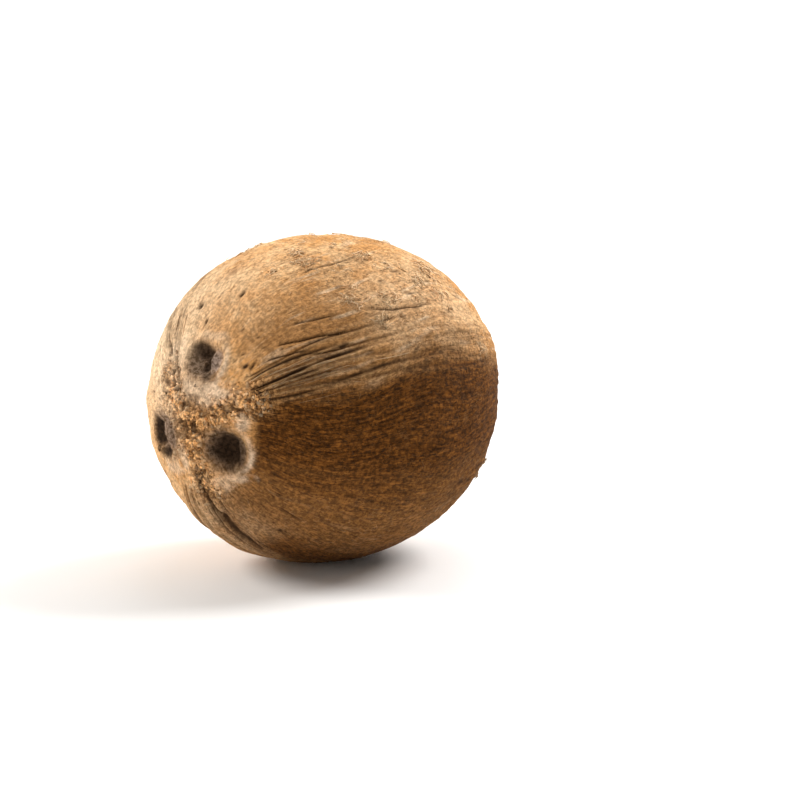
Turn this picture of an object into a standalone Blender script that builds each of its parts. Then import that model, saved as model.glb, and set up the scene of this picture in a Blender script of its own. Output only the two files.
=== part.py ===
# A whole brown coconut with its outer husk taken off, lying on its side.
# Blender 4.5 script, metres, +Z up. The three eyes face -Y, the fruit's long axis runs along Y,
# and the origin is the centre of the small worn flat that the fruit rests on.

import math

import bmesh
import bpy
import numpy as np
from mathutils import Vector

# Driving dimensions of the fruit, in metres
FRUIT_LENGTH = 0.1275
FRUIT_WIDTH = 0.1100
FLAT_CUT_DEPTH = 0.00065

# How finely the surface is cut up: columns run from the eye end to the tip, rings go round
COLUMNS = 116
RINGS = 48
EYE_RING_GAIN = 2.6
EYE_RING_POLAR = math.radians(19)
EYE_RING_REACH = math.radians(13)
RIB_COLUMN_GAIN = 1.6
RIB_COLUMN_REACH = math.radians(10)
EYE_GATHER = 0.34
EYE_GATHER_REACH = 0.20
LINE_SAMPLES = 1441
CUT_TOLERANCE = 1e-6
SHARP_ANGLE = math.radians(60)

# The three ribs, where the carpels of the nut meet: angle round the long axis from +Z to +X,
# height of the broad crest, and how much of the cords' height it carries
RIBS = [
    {"round": math.radians(65), "height": 0.0013, "cords": 1.0},
    {"round": math.radians(195), "height": 0.0012, "cords": 0.7},
    {"round": math.radians(327), "height": 0.0009, "cords": 0.6},
]
RIB_REACH = math.radians(21)
RIB_START = math.radians(13)
RIB_FULL = math.radians(34)
RIB_FADE = math.radians(112)
RIB_END = math.radians(168)
VALLEY_DEPTH = 0.0005

# Each rib carries a bundle of cords of fibre side by side
CORD_OFFSETS = [math.radians(a) for a in (-6.4, -2.3, 1.9, 6.1)]
CORD_HEIGHTS = [0.00045, 0.00070, 0.00060, 0.00040]
CORD_REACH = math.radians(1.6)
CORD_WANDER = math.radians(1.1)
CORD_BENDS = 2.6
CORD_STAGGER = 1.7

# The furrow that runs from the eyes towards the flat, beside the second rib
FURROW_ROUND = math.radians(174)
FURROW_SPAN = [math.radians(a) for a in (8, 22, 44, 56)]
FURROW_HALF_WIDTH = 0.0020
FURROW_DEPTH = 0.0012

# The three eyes: angle from the pole, angle round it, radius, depth, and height of the lip.
# lean is the side of the eye, as an angle round its own centre, on which the wall is steep.
# plug is the hard oval set in it: how far right of and above the eye's centre it lies, half its
# width, half its height, and how far its face lies below the fruit's surface.
EYES = [
    {"polar": math.radians(21.0), "round": math.radians(8), "radius": 0.0072,
     "depth": 0.0033, "lip": 0.00050, "lean": math.radians(325),
     "plug": (0.0040, 0.0005, 0.0030, 0.0041, 0.0010)},
    {"polar": math.radians(16.6), "round": math.radians(120.5), "radius": 0.0071,
     "depth": 0.0036, "lip": 0.00080, "lean": math.radians(95),
     "plug": (0.0043, -0.0003, 0.0018, 0.0045, 0.0022)},
    {"polar": math.radians(16.2), "round": math.radians(247.2), "radius": 0.0074,
     "depth": 0.0028, "lip": 0.00045, "lean": math.radians(265),
     "plug": (0.0008, 0.0009, 0.0034, 0.0048, 0.0009)},
]
EYE_FLOOR_SHARE = 0.12
EYE_SLOPE_SHARE = 0.20
LIP_PLACE_SHARE = 1.12
LIP_REACH_SHARE = 0.26
LIP_LEAST = 0.35
PLUG_TOP_SHARE = 0.60
PLUG_FOOT_SHARE = 1.15
EYE_FRONT_LIMIT = 0.3
EYE_FAR_SHARE = 10.0

# Long fibre ridges all round the fruit: waves per turn, height, and a seed for how they wander
FIBRE_SEED = 41
FIBRE_WAVES = [9, 13, 16, 21, 26]
FIBRE_HEIGHTS = [0.00013, 0.00013, 0.00014, 0.00014, 0.00014]
FIBRE_WANDER = 1.3
FIBRE_SWELL = 0.45
FIBRE_BENDS = (1.5, 4.5)
FIBRE_START = [math.radians(a) for a in (6, 26)]

# The crumbly patch of husk left between the eyes
PATCH_POLAR = math.radians(13)
PATCH_HEIGHT = 0.00022
PATCH_WAVES = [(620.0, 380.0, 0.4), (-480.0, 700.0, 1.9), (840.0, -660.0, 3.1)]

# The blunt nub at the tip
NUB_HEIGHT = 0.0016
NUB_REACH = math.radians(15)

# Broad swellings: angle from the pole, angle round, reach as a chord of the unit sphere, height
SWELLINGS = [
    (math.radians(120), math.radians(30), 0.50, 0.0010),
    (math.radians(112), math.radians(130), 0.55, 0.0005),
    (math.radians(108), math.radians(255), 0.60, 0.0007),
]

# Round the flat the fibres are worn smooth
WORN_REACH = 0.016

HUSK_COLOUR = (0.39, 0.215, 0.098, 1.0)
HUSK_ROUGHNESS = 0.92


def clear_scene():
    for old in list(bpy.data.objects):
        bpy.data.objects.remove(old, do_unlink=True)


def smooth_step(low, high, value):
    share = np.clip((value - low) / (high - low), 0.0, 1.0)
    return share * share * (3.0 - 2.0 * share)


def bell(value, reach):
    """1 at nought, falling off on both sides as a bell of this reach."""
    return np.exp(-((value / reach) ** 2))


def turn_between(angle, other):
    """The signed turn from other to angle, from -pi to pi."""
    return (angle - other + math.pi) % (2.0 * math.pi) - math.pi


def shared_out(share, angle, crowd):
    """The angle below which this share of the lines lies, where crowd says how close they are."""
    steps = 0.5 * (crowd[1:] + crowd[:-1])
    passed = np.concatenate([[0.0], np.cumsum(steps)])
    return np.interp(share, passed / passed[-1], angle)


def ring_angle(share):
    """The angle from the eye pole for a share of the rings: rings gather at the eyes."""
    angle = np.linspace(0.0, math.pi, LINE_SAMPLES)
    crowd = 1.0 + EYE_RING_GAIN * bell(angle - EYE_RING_POLAR, EYE_RING_REACH)
    return shared_out(share, angle, crowd)


def column_angle(share):
    """The angle round the long axis for a share of the columns: columns gather at the ribs."""
    angle = np.linspace(0.0, 2.0 * math.pi, LINE_SAMPLES)
    crowd = np.ones_like(angle)
    for rib in RIBS:
        crowd += RIB_COLUMN_GAIN * bell(turn_between(angle, rib["round"]), RIB_COLUMN_REACH)
    return shared_out(share, angle, crowd)


def sphere_points(polar, around):
    """Points of the unit sphere at angle polar from -Y and angle around from +Z to +X."""
    return np.stack([
        np.sin(polar) * np.sin(around),
        -np.cos(polar),
        np.sin(polar) * np.cos(around),
    ], axis=-1)


def gathered_at_eyes(points):
    """Draws the sphere's points in towards each eye, so the mesh is finer where it dips."""
    for eye in EYES:
        centre = sphere_points(eye["polar"], eye["round"])
        away = np.linalg.norm(points - centre, axis=1, keepdims=True)
        points = points + EYE_GATHER * bell(away, EYE_GATHER_REACH) * (centre - points)
        points = points / np.linalg.norm(points, axis=1, keepdims=True)
    return points


def tip_fade(polar):
    return 1.0 - smooth_step(RIB_FADE, RIB_END, polar)


def rib_strength(polar):
    return smooth_step(RIB_START, RIB_FULL, polar) * tip_fade(polar)


def rib_relief(polar, around):
    """Three broad crests with a bundle of cords on each, and shallow valleys between them."""
    crests = np.full_like(polar, -VALLEY_DEPTH)
    cords = np.zeros_like(polar)
    for number, rib in enumerate(RIBS):
        turn = turn_between(around, rib["round"])
        crests += rib["height"] * bell(turn, RIB_REACH)
        wander = CORD_WANDER * np.sin(CORD_BENDS * polar + CORD_STAGGER * number)
        for offset, height in zip(CORD_OFFSETS, CORD_HEIGHTS):
            cords += rib["cords"] * height * bell(turn - offset - wander, CORD_REACH)
    return crests * rib_strength(polar), cords * rib_strength(polar)


def furrow_relief(polar, around):
    """A furrow along the fruit that fades in and out at its ends."""
    start, full, fading, end = FURROW_SPAN
    side = turn_between(around, FURROW_ROUND) * 0.5 * FRUIT_WIDTH * np.sin(polar)
    ends = smooth_step(start, full, polar) * (1.0 - smooth_step(fading, end, polar))
    return -FURROW_DEPTH * bell(side, FURROW_HALF_WIDTH) * ends


def fibre_relief(polar, around):
    """Ridges along the meridians: whole numbers of waves round the fruit that wander and fade."""
    draw = np.random.default_rng(FIBRE_SEED)
    relief = np.zeros_like(polar)
    for waves, height in zip(FIBRE_WAVES, FIBRE_HEIGHTS):
        start, bend, swell = draw.uniform(0.0, 2.0 * math.pi, 3)
        bends, swells = draw.uniform(FIBRE_BENDS[0], FIBRE_BENDS[1], 2)
        phase = waves * around + start + FIBRE_WANDER * np.sin(bends * polar + bend)
        swelling = np.sin(swells * polar + swell + 2.0 * around)
        relief += height * np.cos(phase) * (1.0 - FIBRE_SWELL + FIBRE_SWELL * swelling)
    return relief * smooth_step(FIBRE_START[0], FIBRE_START[1], polar) * tip_fade(polar)


def along_surface(polar, around, eye):
    """Distance east and north of an eye's centre, in metres along the surface."""
    points = sphere_points(polar, around)
    centre = sphere_points(eye["polar"], eye["round"])
    north = np.array([0.0, 0.0, 1.0]) - centre * centre[2]
    north /= np.linalg.norm(north)
    east = np.cross(north, centre)
    in_front = points @ centre > EYE_FRONT_LIMIT
    far = EYE_FAR_SHARE * eye["radius"]
    right = np.where(in_front, 0.5 * FRUIT_WIDTH * (points @ east), far)
    above = np.where(in_front, 0.5 * FRUIT_WIDTH * (points @ north), far)
    return right, above


def eye_relief(polar, around):
    """The pit of each eye, with its raised lip and the level face of its plug."""
    relief = np.zeros_like(polar)
    for eye in EYES:
        right, above = along_surface(polar, around, eye)
        reach = np.hypot(right, above) / eye["radius"]
        steep = 0.5 + 0.5 * np.cos(np.arctan2(right, above) - eye["lean"])
        floor_edge = EYE_FLOOR_SHARE + EYE_SLOPE_SHARE * steep
        wall = 1.0 - smooth_step(floor_edge, 1.0, reach)
        lip = bell(reach - LIP_PLACE_SHARE, LIP_REACH_SHARE) * (LIP_LEAST + (1.0 - LIP_LEAST) * steep)
        dip = eye["lip"] * lip - eye["depth"] * wall
        plug_right, plug_above, half_across, half_up, plug_level = eye["plug"]
        plug_reach = np.hypot((right - plug_right) / half_across, (above - plug_above) / half_up)
        plug = 1.0 - smooth_step(PLUG_TOP_SHARE, PLUG_FOOT_SHARE, plug_reach)
        relief += dip + (-plug_level - dip) * plug
    return relief


def patch_relief(polar, around):
    """Crumbs of husk between the eyes: crossing waves over a small patch at the pole."""
    right = 0.5 * FRUIT_WIDTH * np.sin(polar) * np.sin(around)
    above = 0.5 * FRUIT_WIDTH * np.sin(polar) * np.cos(around)
    crumbs = np.zeros_like(polar)
    for across, upward, start in PATCH_WAVES:
        crumbs += np.cos(across * right + upward * above + start)
    return PATCH_HEIGHT * crumbs * bell(polar, PATCH_POLAR)


def fruit_surface(polar, around):
    """Points of the surface: an egg-round body, moved along its own normal by the relief."""
    half_width = 0.5 * FRUIT_WIDTH
    half_length = 0.5 * FRUIT_LENGTH
    half_sizes = np.array([half_width, half_length, half_width])
    sphere = sphere_points(polar, around)
    points = sphere * half_sizes
    normals = sphere / half_sizes
    normals /= np.linalg.norm(normals, axis=1, keepdims=True)
    from_bottom = np.hypot(points[:, 0], points[:, 1])
    worn = (points[:, 2] < 0.0) * bell(from_bottom, WORN_REACH)
    crests, cords = rib_relief(polar, around)
    relief = crests + (cords + fibre_relief(polar, around)) * (1.0 - worn)
    relief += furrow_relief(polar, around)
    for swelling_polar, swelling_round, reach, height in SWELLINGS:
        away = np.linalg.norm(sphere - sphere_points(swelling_polar, swelling_round), axis=1)
        relief += height * bell(away, reach)
    relief += patch_relief(polar, around) + eye_relief(polar, around)
    relief += NUB_HEIGHT * bell(math.pi - polar, NUB_REACH)
    return points + normals * relief[:, None]


def body_mesh():
    """A sphere of rings and columns, carried onto the fruit's surface, with the flat cut off."""
    shell = bmesh.new()
    bmesh.ops.create_uvsphere(shell, u_segments=COLUMNS, v_segments=RINGS, radius=1.0)
    shell.verts.ensure_lookup_table()
    start = np.array([vertex.co[:] for vertex in shell.verts])
    ring_share = np.arccos(np.clip(start[:, 2], -1.0, 1.0)) / math.pi
    column_share = (np.arctan2(start[:, 1], start[:, 0]) / (2.0 * math.pi)) % 1.0
    sphere = gathered_at_eyes(sphere_points(ring_angle(ring_share), column_angle(column_share)))
    polar = np.arccos(np.clip(-sphere[:, 1], -1.0, 1.0))
    around = np.arctan2(sphere[:, 0], sphere[:, 2])
    points = fruit_surface(polar, around)
    points[:, 2] -= points[:, 2].min() + FLAT_CUT_DEPTH
    for vertex, point in zip(shell.verts, points):
        vertex.co = point
    cut = bmesh.ops.bisect_plane(
        shell,
        geom=shell.verts[:] + shell.edges[:] + shell.faces[:],
        dist=CUT_TOLERANCE,
        plane_co=Vector((0.0, 0.0, 0.0)),
        plane_no=Vector((0.0, 0.0, -1.0)),
        clear_outer=True,
    )
    rim = [item for item in cut["geom_cut"] if isinstance(item, bmesh.types.BMEdge)]
    for vertex in {vertex for edge in rim for vertex in edge.verts}:
        vertex.co.z = 0.0
    bmesh.ops.contextual_create(shell, geom=rim)
    corners = np.array([vertex.co[:] for edge in rim for vertex in edge.verts])
    middle = 0.5 * (corners.min(axis=0) + corners.max(axis=0))
    bmesh.ops.translate(shell, verts=shell.verts, vec=Vector((-middle[0], -middle[1], 0.0)))
    bmesh.ops.recalc_face_normals(shell, faces=shell.faces)
    mesh = bpy.data.meshes.new("coconut")
    shell.to_mesh(mesh)
    shell.free()
    return mesh


def husk_material():
    material = bpy.data.materials.new("brown_husk")
    material.use_nodes = True
    shader = material.node_tree.nodes["Principled BSDF"]
    shader.inputs["Base Color"].default_value = HUSK_COLOUR
    shader.inputs["Roughness"].default_value = HUSK_ROUGHNESS
    shader.inputs["Metallic"].default_value = 0.0
    return material


def build_coconut():
    fruit = bpy.data.collections.new("whole_coconut")
    bpy.context.scene.collection.children.link(fruit)
    mesh = body_mesh()
    mesh.materials.append(husk_material())
    mesh.shade_smooth()
    mesh.set_sharp_from_angle(angle=SHARP_ANGLE)
    coconut = bpy.data.objects.new("coconut", mesh)
    fruit.objects.link(coconut)


clear_scene()
build_coconut()
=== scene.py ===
# A whole brown coconut with its outer husk off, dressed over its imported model.
# The fruit lies along Y with its three eyes facing -Y. Places on it are given by two angles:
# polar, from the middle of the eye end, and around, round the long axis from +Z towards +X.

import math

import bpy
import numpy as np
from mathutils import Matrix, Vector


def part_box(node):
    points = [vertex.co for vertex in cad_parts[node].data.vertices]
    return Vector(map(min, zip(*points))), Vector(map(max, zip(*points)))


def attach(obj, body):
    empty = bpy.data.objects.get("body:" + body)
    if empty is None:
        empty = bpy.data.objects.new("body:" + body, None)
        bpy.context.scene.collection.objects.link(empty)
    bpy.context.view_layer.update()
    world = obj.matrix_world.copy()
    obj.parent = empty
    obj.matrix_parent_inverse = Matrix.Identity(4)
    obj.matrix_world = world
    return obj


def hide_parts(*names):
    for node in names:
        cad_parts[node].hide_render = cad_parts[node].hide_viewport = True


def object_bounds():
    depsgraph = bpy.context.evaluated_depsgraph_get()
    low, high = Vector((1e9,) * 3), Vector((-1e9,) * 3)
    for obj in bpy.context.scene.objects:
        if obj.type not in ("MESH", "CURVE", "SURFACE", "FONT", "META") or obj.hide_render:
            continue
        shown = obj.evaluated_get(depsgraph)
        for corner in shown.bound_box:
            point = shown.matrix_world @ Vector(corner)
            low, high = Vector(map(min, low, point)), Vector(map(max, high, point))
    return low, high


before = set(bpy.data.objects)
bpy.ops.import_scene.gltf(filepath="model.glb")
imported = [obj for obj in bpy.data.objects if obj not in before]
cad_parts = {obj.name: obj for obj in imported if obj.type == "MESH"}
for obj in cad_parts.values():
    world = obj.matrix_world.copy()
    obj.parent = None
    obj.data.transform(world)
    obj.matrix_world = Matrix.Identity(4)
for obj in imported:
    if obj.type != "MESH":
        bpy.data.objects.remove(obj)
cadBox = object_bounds()
tau = 2.0 * math.pi
print("frame loaded")


# the fruit's main shape, as the solid has it: sizes in metres, angles in degrees
fruit = {
    "width": 0.1100,
    "length": 0.1275,
    # ribs: angle round, height of the broad crest, share of the cords' height
    "ribs": [(65.0, 0.0013, 1.0), (195.0, 0.0012, 0.7), (327.0, 0.0009, 0.6)],
    "ribReach": 21.0,
    "ribStart": (13.0, 34.0),
    "tipFade": (112.0, 168.0),
    "valleyDepth": 0.0005,
    "cordOffsets": (-6.4, -2.3, 1.9, 6.1),
    "cordHeights": (0.00045, 0.00070, 0.00060, 0.00040),
    "cordReach": 1.6,
    "cordWander": 1.1,
    # long ridges all round: waves a turn and their heights
    "waves": (9, 13, 16, 21, 26),
    "waveHeights": (0.00013, 0.00013, 0.00014, 0.00014, 0.00014),
    "waveWander": 1.3, "waveBends": (1.5, 4.5), "waveSwell": 0.45, "waveStart": (6.0, 26.0),
    # the furrow beside the second rib: angle round, start, full, fading, end, half width, depth
    "furrow": (174.0, 8.0, 22.0, 44.0, 56.0, 0.0020, 0.0012),
    "waveSeed": 41,
    # broad swellings: polar, around, reach on the unit sphere, height
    "swellings": [(120.0, 30.0, 0.50, 0.0010), (112.0, 130.0, 0.55, 0.0005), (108.0, 255.0, 0.60, 0.0007)],
    "nubHeight": 0.0016,
    "nubReach": 15.0,
    "wornReach": 0.016,
}

# the three eyes: place, radius, depth and lip of the dip, and the side on which its wall is steep.
# The plug is metres right and above the centre, half across, half up, and how far it lies below the
# surface. Each patch of colour is an ellipse in the same order, with its strength last; the darkest
# patches are partly the eyes' own charcoal and partly painted shadow on the wall of the dip turned
# from the light. The pale rim is an arc hugging the dip: its place and spread round the eye in
# degrees, and its strength.
eyes = [
    {
        "polar": 21.0, "around": 8.0, "radius": 0.0072, "depth": 0.0033, "lip": 0.00050, "lean": 325.0,
        "plug": (0.0040, 0.0005, 0.0030, 0.0041, 0.0010), "plugPale": 1.0,
        "charAndShadow": [(-0.0030, 0.0034, 0.0050, 0.0030, 0.88), (-0.0002, -0.0002, 0.0020, 0.0044, 0.85),
                 (0.0030, -0.0050, 0.0036, 0.0020, 0.60)],
        "grey": [(-0.0010, -0.0006, 0.0084, 0.0074, 1.0)],
        "halo": [(-0.0108, -0.0005, 0.0065, 0.0082, 0.46), (0.0010, -0.0098, 0.0112, 0.0050, 1.00),
                 (0.0010, 0.0078, 0.0065, 0.0018, 0.45)],
        "rim": (112.0, 62.0, 0.95),
    },
    {
        "polar": 16.6, "around": 120.5, "radius": 0.0071, "depth": 0.0036, "lip": 0.00080, "lean": 95.0,
        "plug": (0.0043, -0.0003, 0.0018, 0.0045, 0.0022), "plugPale": 0.14,
        "charAndShadow": [(-0.0004, -0.0004, 0.0084, 0.0080, 1.0)],
        "grey": [(-0.0016, -0.0002, 0.0092, 0.0084, 1.0)],
        "halo": [(0.0056, 0.0092, 0.0026, 0.0032, 0.85), (0.0012, -0.0096, 0.0060, 0.0020, 0.60),
                 (-0.0036, -0.0112, 0.0042, 0.0036, 0.50)],
        "rim": (112.0, 68.0, 1.00),
    },
    {
        "polar": 16.2, "around": 247.2, "radius": 0.0074, "depth": 0.0028, "lip": 0.00045, "lean": 265.0,
        "plug": (0.0008, 0.0009, 0.0034, 0.0048, 0.0009), "plugPale": 0.30,
        "charAndShadow": [(-0.0052, 0.0000, 0.0034, 0.0072, 1.0), (-0.0014, -0.0064, 0.0048, 0.0022, 0.95),
                 (0.0026, 0.0004, 0.0044, 0.0070, 0.36)],
        "grey": [(0.0010, 0.0002, 0.0104, 0.0098, 1.0)],
        "halo": [(0.0092, -0.0050, 0.0030, 0.0062, 0.75), (0.0015, -0.0106, 0.0070, 0.0028, 0.65)],
        "rim": (150.0, 60.0, 0.60),
    },
]

# the dip of an eye, as shares of its radius: where its wall starts and how much further on the steep
# side, where the lip lies, how wide it is and how high on the gentle side, and the edge of the plug
eyeShape = {
    "wallStart": 0.12, "wallSteep": 0.20,
    "lipPlace": 1.12, "lipWidth": 0.26, "lipLow": 0.35,
    "plugEdge": (0.60, 1.15),
}


def smoothStep(low, high, value):
    # 0 below low, 1 above high, and an even S between them
    share = np.clip((value - low) / (high - low), 0.0, 1.0)
    return share * share * (3.0 - 2.0 * share)


def bell(value, reach):
    # 1 at nought, falling off on both sides like a bell of this reach
    return np.exp(-((value / reach) ** 2))


def between(value, start, full, fading, end):
    # 0 up to start, 1 from full to fading, and 0 again from end
    return smoothStep(start, full, value) * (1.0 - smoothStep(fading, end, value))


def turnBetween(angle, other):
    # the signed turn from other to angle, in radians from -pi to pi
    return (angle - other + math.pi) % tau - math.pi


def spherePoint(polar, around):
    # (sin a sin b, -cos a, sin a cos b) for polar a and around b
    return np.stack([
        np.sin(polar) * np.sin(around),
        -np.cos(polar),
        np.sin(polar) * np.cos(around),
    ], axis=-1)


def turnFrom(around, place):
    # degrees round the fruit from a place given in degrees
    return np.degrees(turnBetween(around, math.radians(place)))


def metresAside(polar, around, line):
    # metres round the fruit from a line at this angle, in radians
    return turnBetween(around, line) * 0.5 * fruit["width"] * np.sin(polar)


def nearPlace(sphere, atPolar, atAround, reach):
    # 1 at a place given in degrees, falling off like a bell of this reach on the unit sphere
    centre = spherePoint(math.radians(atPolar), math.radians(atAround))
    return bell(np.linalg.norm(sphere - centre, axis=-1), reach)


def hashShare(*whole):
    # an even number from 0 to 1 for each set of whole numbers: the fraction of a large sine
    mixed = 0.0
    for number, weight in zip(whole, (127.1, 311.7, 74.7, 213.3)):
        mixed = mixed + number * weight
    return (np.sin(mixed) * 43758.5453) % 1.0


def softNoise(points, seed):
    # noise from -1 to 1: random numbers at the corners of unit cells, blended by S curves
    cell = np.floor(points)
    part = points - cell
    part = part * part * (3.0 - 2.0 * part)
    total = 0.0
    for corner in range(8):
        step = np.array([corner & 1, corner >> 1 & 1, corner >> 2 & 1])
        weight = np.prod(np.where(step, part, 1.0 - part), axis=-1)
        at = cell + step
        total = total + weight * hashShare(at[..., 0], at[..., 1], at[..., 2], seed)
    return 2.0 * total - 1.0


def layeredNoise(points, seed, layers):
    # softNoise summed over layers, each twice as fine and half as strong
    total = 0.0
    for layer in range(layers):
        total = total + softNoise(points * 2.0 ** layer, seed + layer) * 0.5 ** layer
    return total


def tipFade(polar):
    # 1 over most of the fruit, falling to 0 in an S towards the tip
    low, high = np.radians(fruit["tipFade"])
    return 1.0 - smoothStep(low, high, polar)


def ribStrength(polar):
    # 0 at the eye end, rising to 1 in an S, and 0 again at the tip
    low, high = np.radians(fruit["ribStart"])
    return smoothStep(low, high, polar) * tipFade(polar)


def ribRelief(polar, around):
    # broad crests shaped like bells, and on each a bundle of narrow bells side by side
    crests = np.full_like(polar, -fruit["valleyDepth"])
    cords = np.zeros_like(polar)
    for number, (ribAround, height, cordShare) in enumerate(fruit["ribs"]):
        turn = turnBetween(around, math.radians(ribAround))
        crests += height * bell(turn, math.radians(fruit["ribReach"]))
        wander = math.radians(fruit["cordWander"]) * np.sin(2.6 * polar + 1.7 * number)
        for offset, cordHeight in zip(fruit["cordOffsets"], fruit["cordHeights"]):
            away = turn - math.radians(offset) - wander
            cords += cordShare * cordHeight * bell(away, math.radians(fruit["cordReach"]))
    return crests * ribStrength(polar), cords * ribStrength(polar)


def waveRelief(polar, around):
    # whole numbers of cosine waves round the fruit, which wander and swell along it
    draw = np.random.default_rng(fruit["waveSeed"])
    relief = np.zeros_like(polar)
    for waves, height in zip(fruit["waves"], fruit["waveHeights"]):
        start, bend, swell = draw.uniform(0.0, tau, 3)
        bends, swells = draw.uniform(*fruit["waveBends"], 2)
        phase = waves * around + start + fruit["waveWander"] * np.sin(bends * polar + bend)
        swelling = 1.0 - fruit["waveSwell"] * (1.0 - np.sin(swells * polar + swell + 2.0 * around))
        relief += height * np.cos(phase) * swelling
    low, high = np.radians(fruit["waveStart"])
    return relief * smoothStep(low, high, polar) * tipFade(polar)


def furrowRelief(polar, around):
    # a bell-shaped furrow along the fruit that fades in and out at its ends
    place, start, full, fading, end, halfWidth, depth = fruit["furrow"]
    side = metresAside(polar, around, math.radians(place))
    return -depth * bell(side, halfWidth) * between(np.degrees(polar), start, full, fading, end)


def besideEye(polar, around, eye):
    # metres to the right of and above an eye's centre, as seen from in front of the eye end
    points = spherePoint(polar, around)
    centre = spherePoint(math.radians(eye["polar"]), math.radians(eye["around"]))
    above = np.array([0.0, 0.0, 1.0]) - centre * centre[2]
    above /= np.linalg.norm(above)
    right = np.cross(above, centre)
    inFront = points @ centre > 0.3
    size = 0.5 * fruit["width"]
    far = 10.0 * eye["radius"]
    return np.where(inFront, size * (points @ right), far), np.where(inFront, size * (points @ above), far)


def eyeRelief(polar, around):
    # a dip with an S-curved wall, steeper on one side, a bell-shaped lip, and a plug with a level face
    relief = np.zeros_like(polar)
    for eye in eyes:
        right, above = besideEye(polar, around, eye)
        reach = np.hypot(right, above) / eye["radius"]
        steep = 0.5 + 0.5 * np.cos(np.arctan2(right, above) - math.radians(eye["lean"]))
        wall = 1.0 - smoothStep(eyeShape["wallStart"] + eyeShape["wallSteep"] * steep, 1.0, reach)
        lip = bell(reach - eyeShape["lipPlace"], eyeShape["lipWidth"])
        lip = lip * (eyeShape["lipLow"] + (1.0 - eyeShape["lipLow"]) * steep)
        dip = eye["lip"] * lip - eye["depth"] * wall
        plugRight, plugAbove, halfAcross, halfUp, plugLevel = eye["plug"]
        plugReach = np.hypot((right - plugRight) / halfAcross, (above - plugAbove) / halfUp)
        plug = 1.0 - smoothStep(*eyeShape["plugEdge"], plugReach)
        relief += dip + (-plugLevel - dip) * plug
    return relief


def plainSurface(polar, around):
    # an egg-round body whose points move along their normals by the relief of the solid
    halfSizes = 0.5 * np.array([fruit["width"], fruit["length"], fruit["width"]])
    sphere = spherePoint(polar, around)
    points = sphere * halfSizes
    normals = sphere / halfSizes
    normals /= np.linalg.norm(normals, axis=-1, keepdims=True)
    fromBottom = np.hypot(points[..., 0], points[..., 1])
    worn = (points[..., 2] < 0.0) * bell(fromBottom, fruit["wornReach"])
    crests, cords = ribRelief(polar, around)
    relief = crests + (cords + waveRelief(polar, around)) * (1.0 - worn)
    for swellPolar, swellAround, reach, height in fruit["swellings"]:
        relief += height * nearPlace(sphere, swellPolar, swellAround, reach)
    relief += eyeRelief(polar, around) + furrowRelief(polar, around)
    relief += fruit["nubHeight"] * bell(math.pi - polar, math.radians(fruit["nubReach"]))
    return points + normals * relief[..., None], normals, worn


def placeInFrame():
    # the shift from the formula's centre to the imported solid, from the two boxes
    polar, around = np.meshgrid(np.linspace(0.0, math.pi, 181), np.linspace(0.0, tau, 361), indexing="ij")
    points, _, _ = plainSurface(polar, around)
    low, high = points.min(axis=(0, 1)), points.max(axis=(0, 1))
    boxLow, boxHigh = np.array(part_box("coconut"))
    shift = 0.5 * (boxLow + boxHigh - low - high)
    shift[2] = boxHigh[2] - high[2]
    return shift


frameShift = placeInFrame()
print("fruit centre", np.round(frameShift * 1000.0, 2))


# the husk's mesh and fine shape, in metres and degrees
husk = {
    "columns": 560,
    "rings": 177,
    # rings gather at the eye end, and columns on one side of the fruit, most of all at the first rib
    "ringGain": 3.0, "ringPolar": 18.0, "ringReach": 20.0,
    "sideGain": 0.45, "sidePlace": 60.0, "sideReach": 100.0,
    "columnGain": 0.6, "columnPlace": 59.0, "columnReach": 14.0,
    # fibres pressed into the surface: width and length of one, and height
    "fibreWidth": 0.0017, "fibreLength": 0.009, "fibreHeight": 0.00016,
    "matWidth": 0.008, "matLength": 0.016, "matHeight": 0.00020,
    # dashes where a fibre has come away: width and length of a cell, share of cells that have one,
    # half width, half length, depth
    "dashCells": [
        (0.0022, 0.0036, 0.50, 0.00026, 0.0007, 0.00014),
        (0.0060, 0.0110, 0.40, 0.00042, 0.0014, 0.00034),
    ],
    # clumps of loose fibre, in the same order, with height for depth
    "clumpCell": (0.0070, 0.0080, 0.85, 0.00140, 0.00200, 0.00055),
    # crumbs near the eyes
    "crumbSize": 0.0026, "crumbHeight": 0.00105, "gritSize": 0.0009, "gritHeight": 0.00030,
}

# a seed for each noise, so that no two look alike
seeds = {
    "fibres": 3.0, "mats": 31.0, "ribs": 57.0, "clumps": 61.0, "lumps": 17.0, "grit": 23.0,
    "eyeRough": 5.0, "eyeFine": 8.0, "dashes": 40.0, "clumpDashes": 90.0,
    "darkEdge": 77.0, "darkEnd": 79.0, "warm": 78.0, "pale": 83.0, "smears": 71.0,
}

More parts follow.
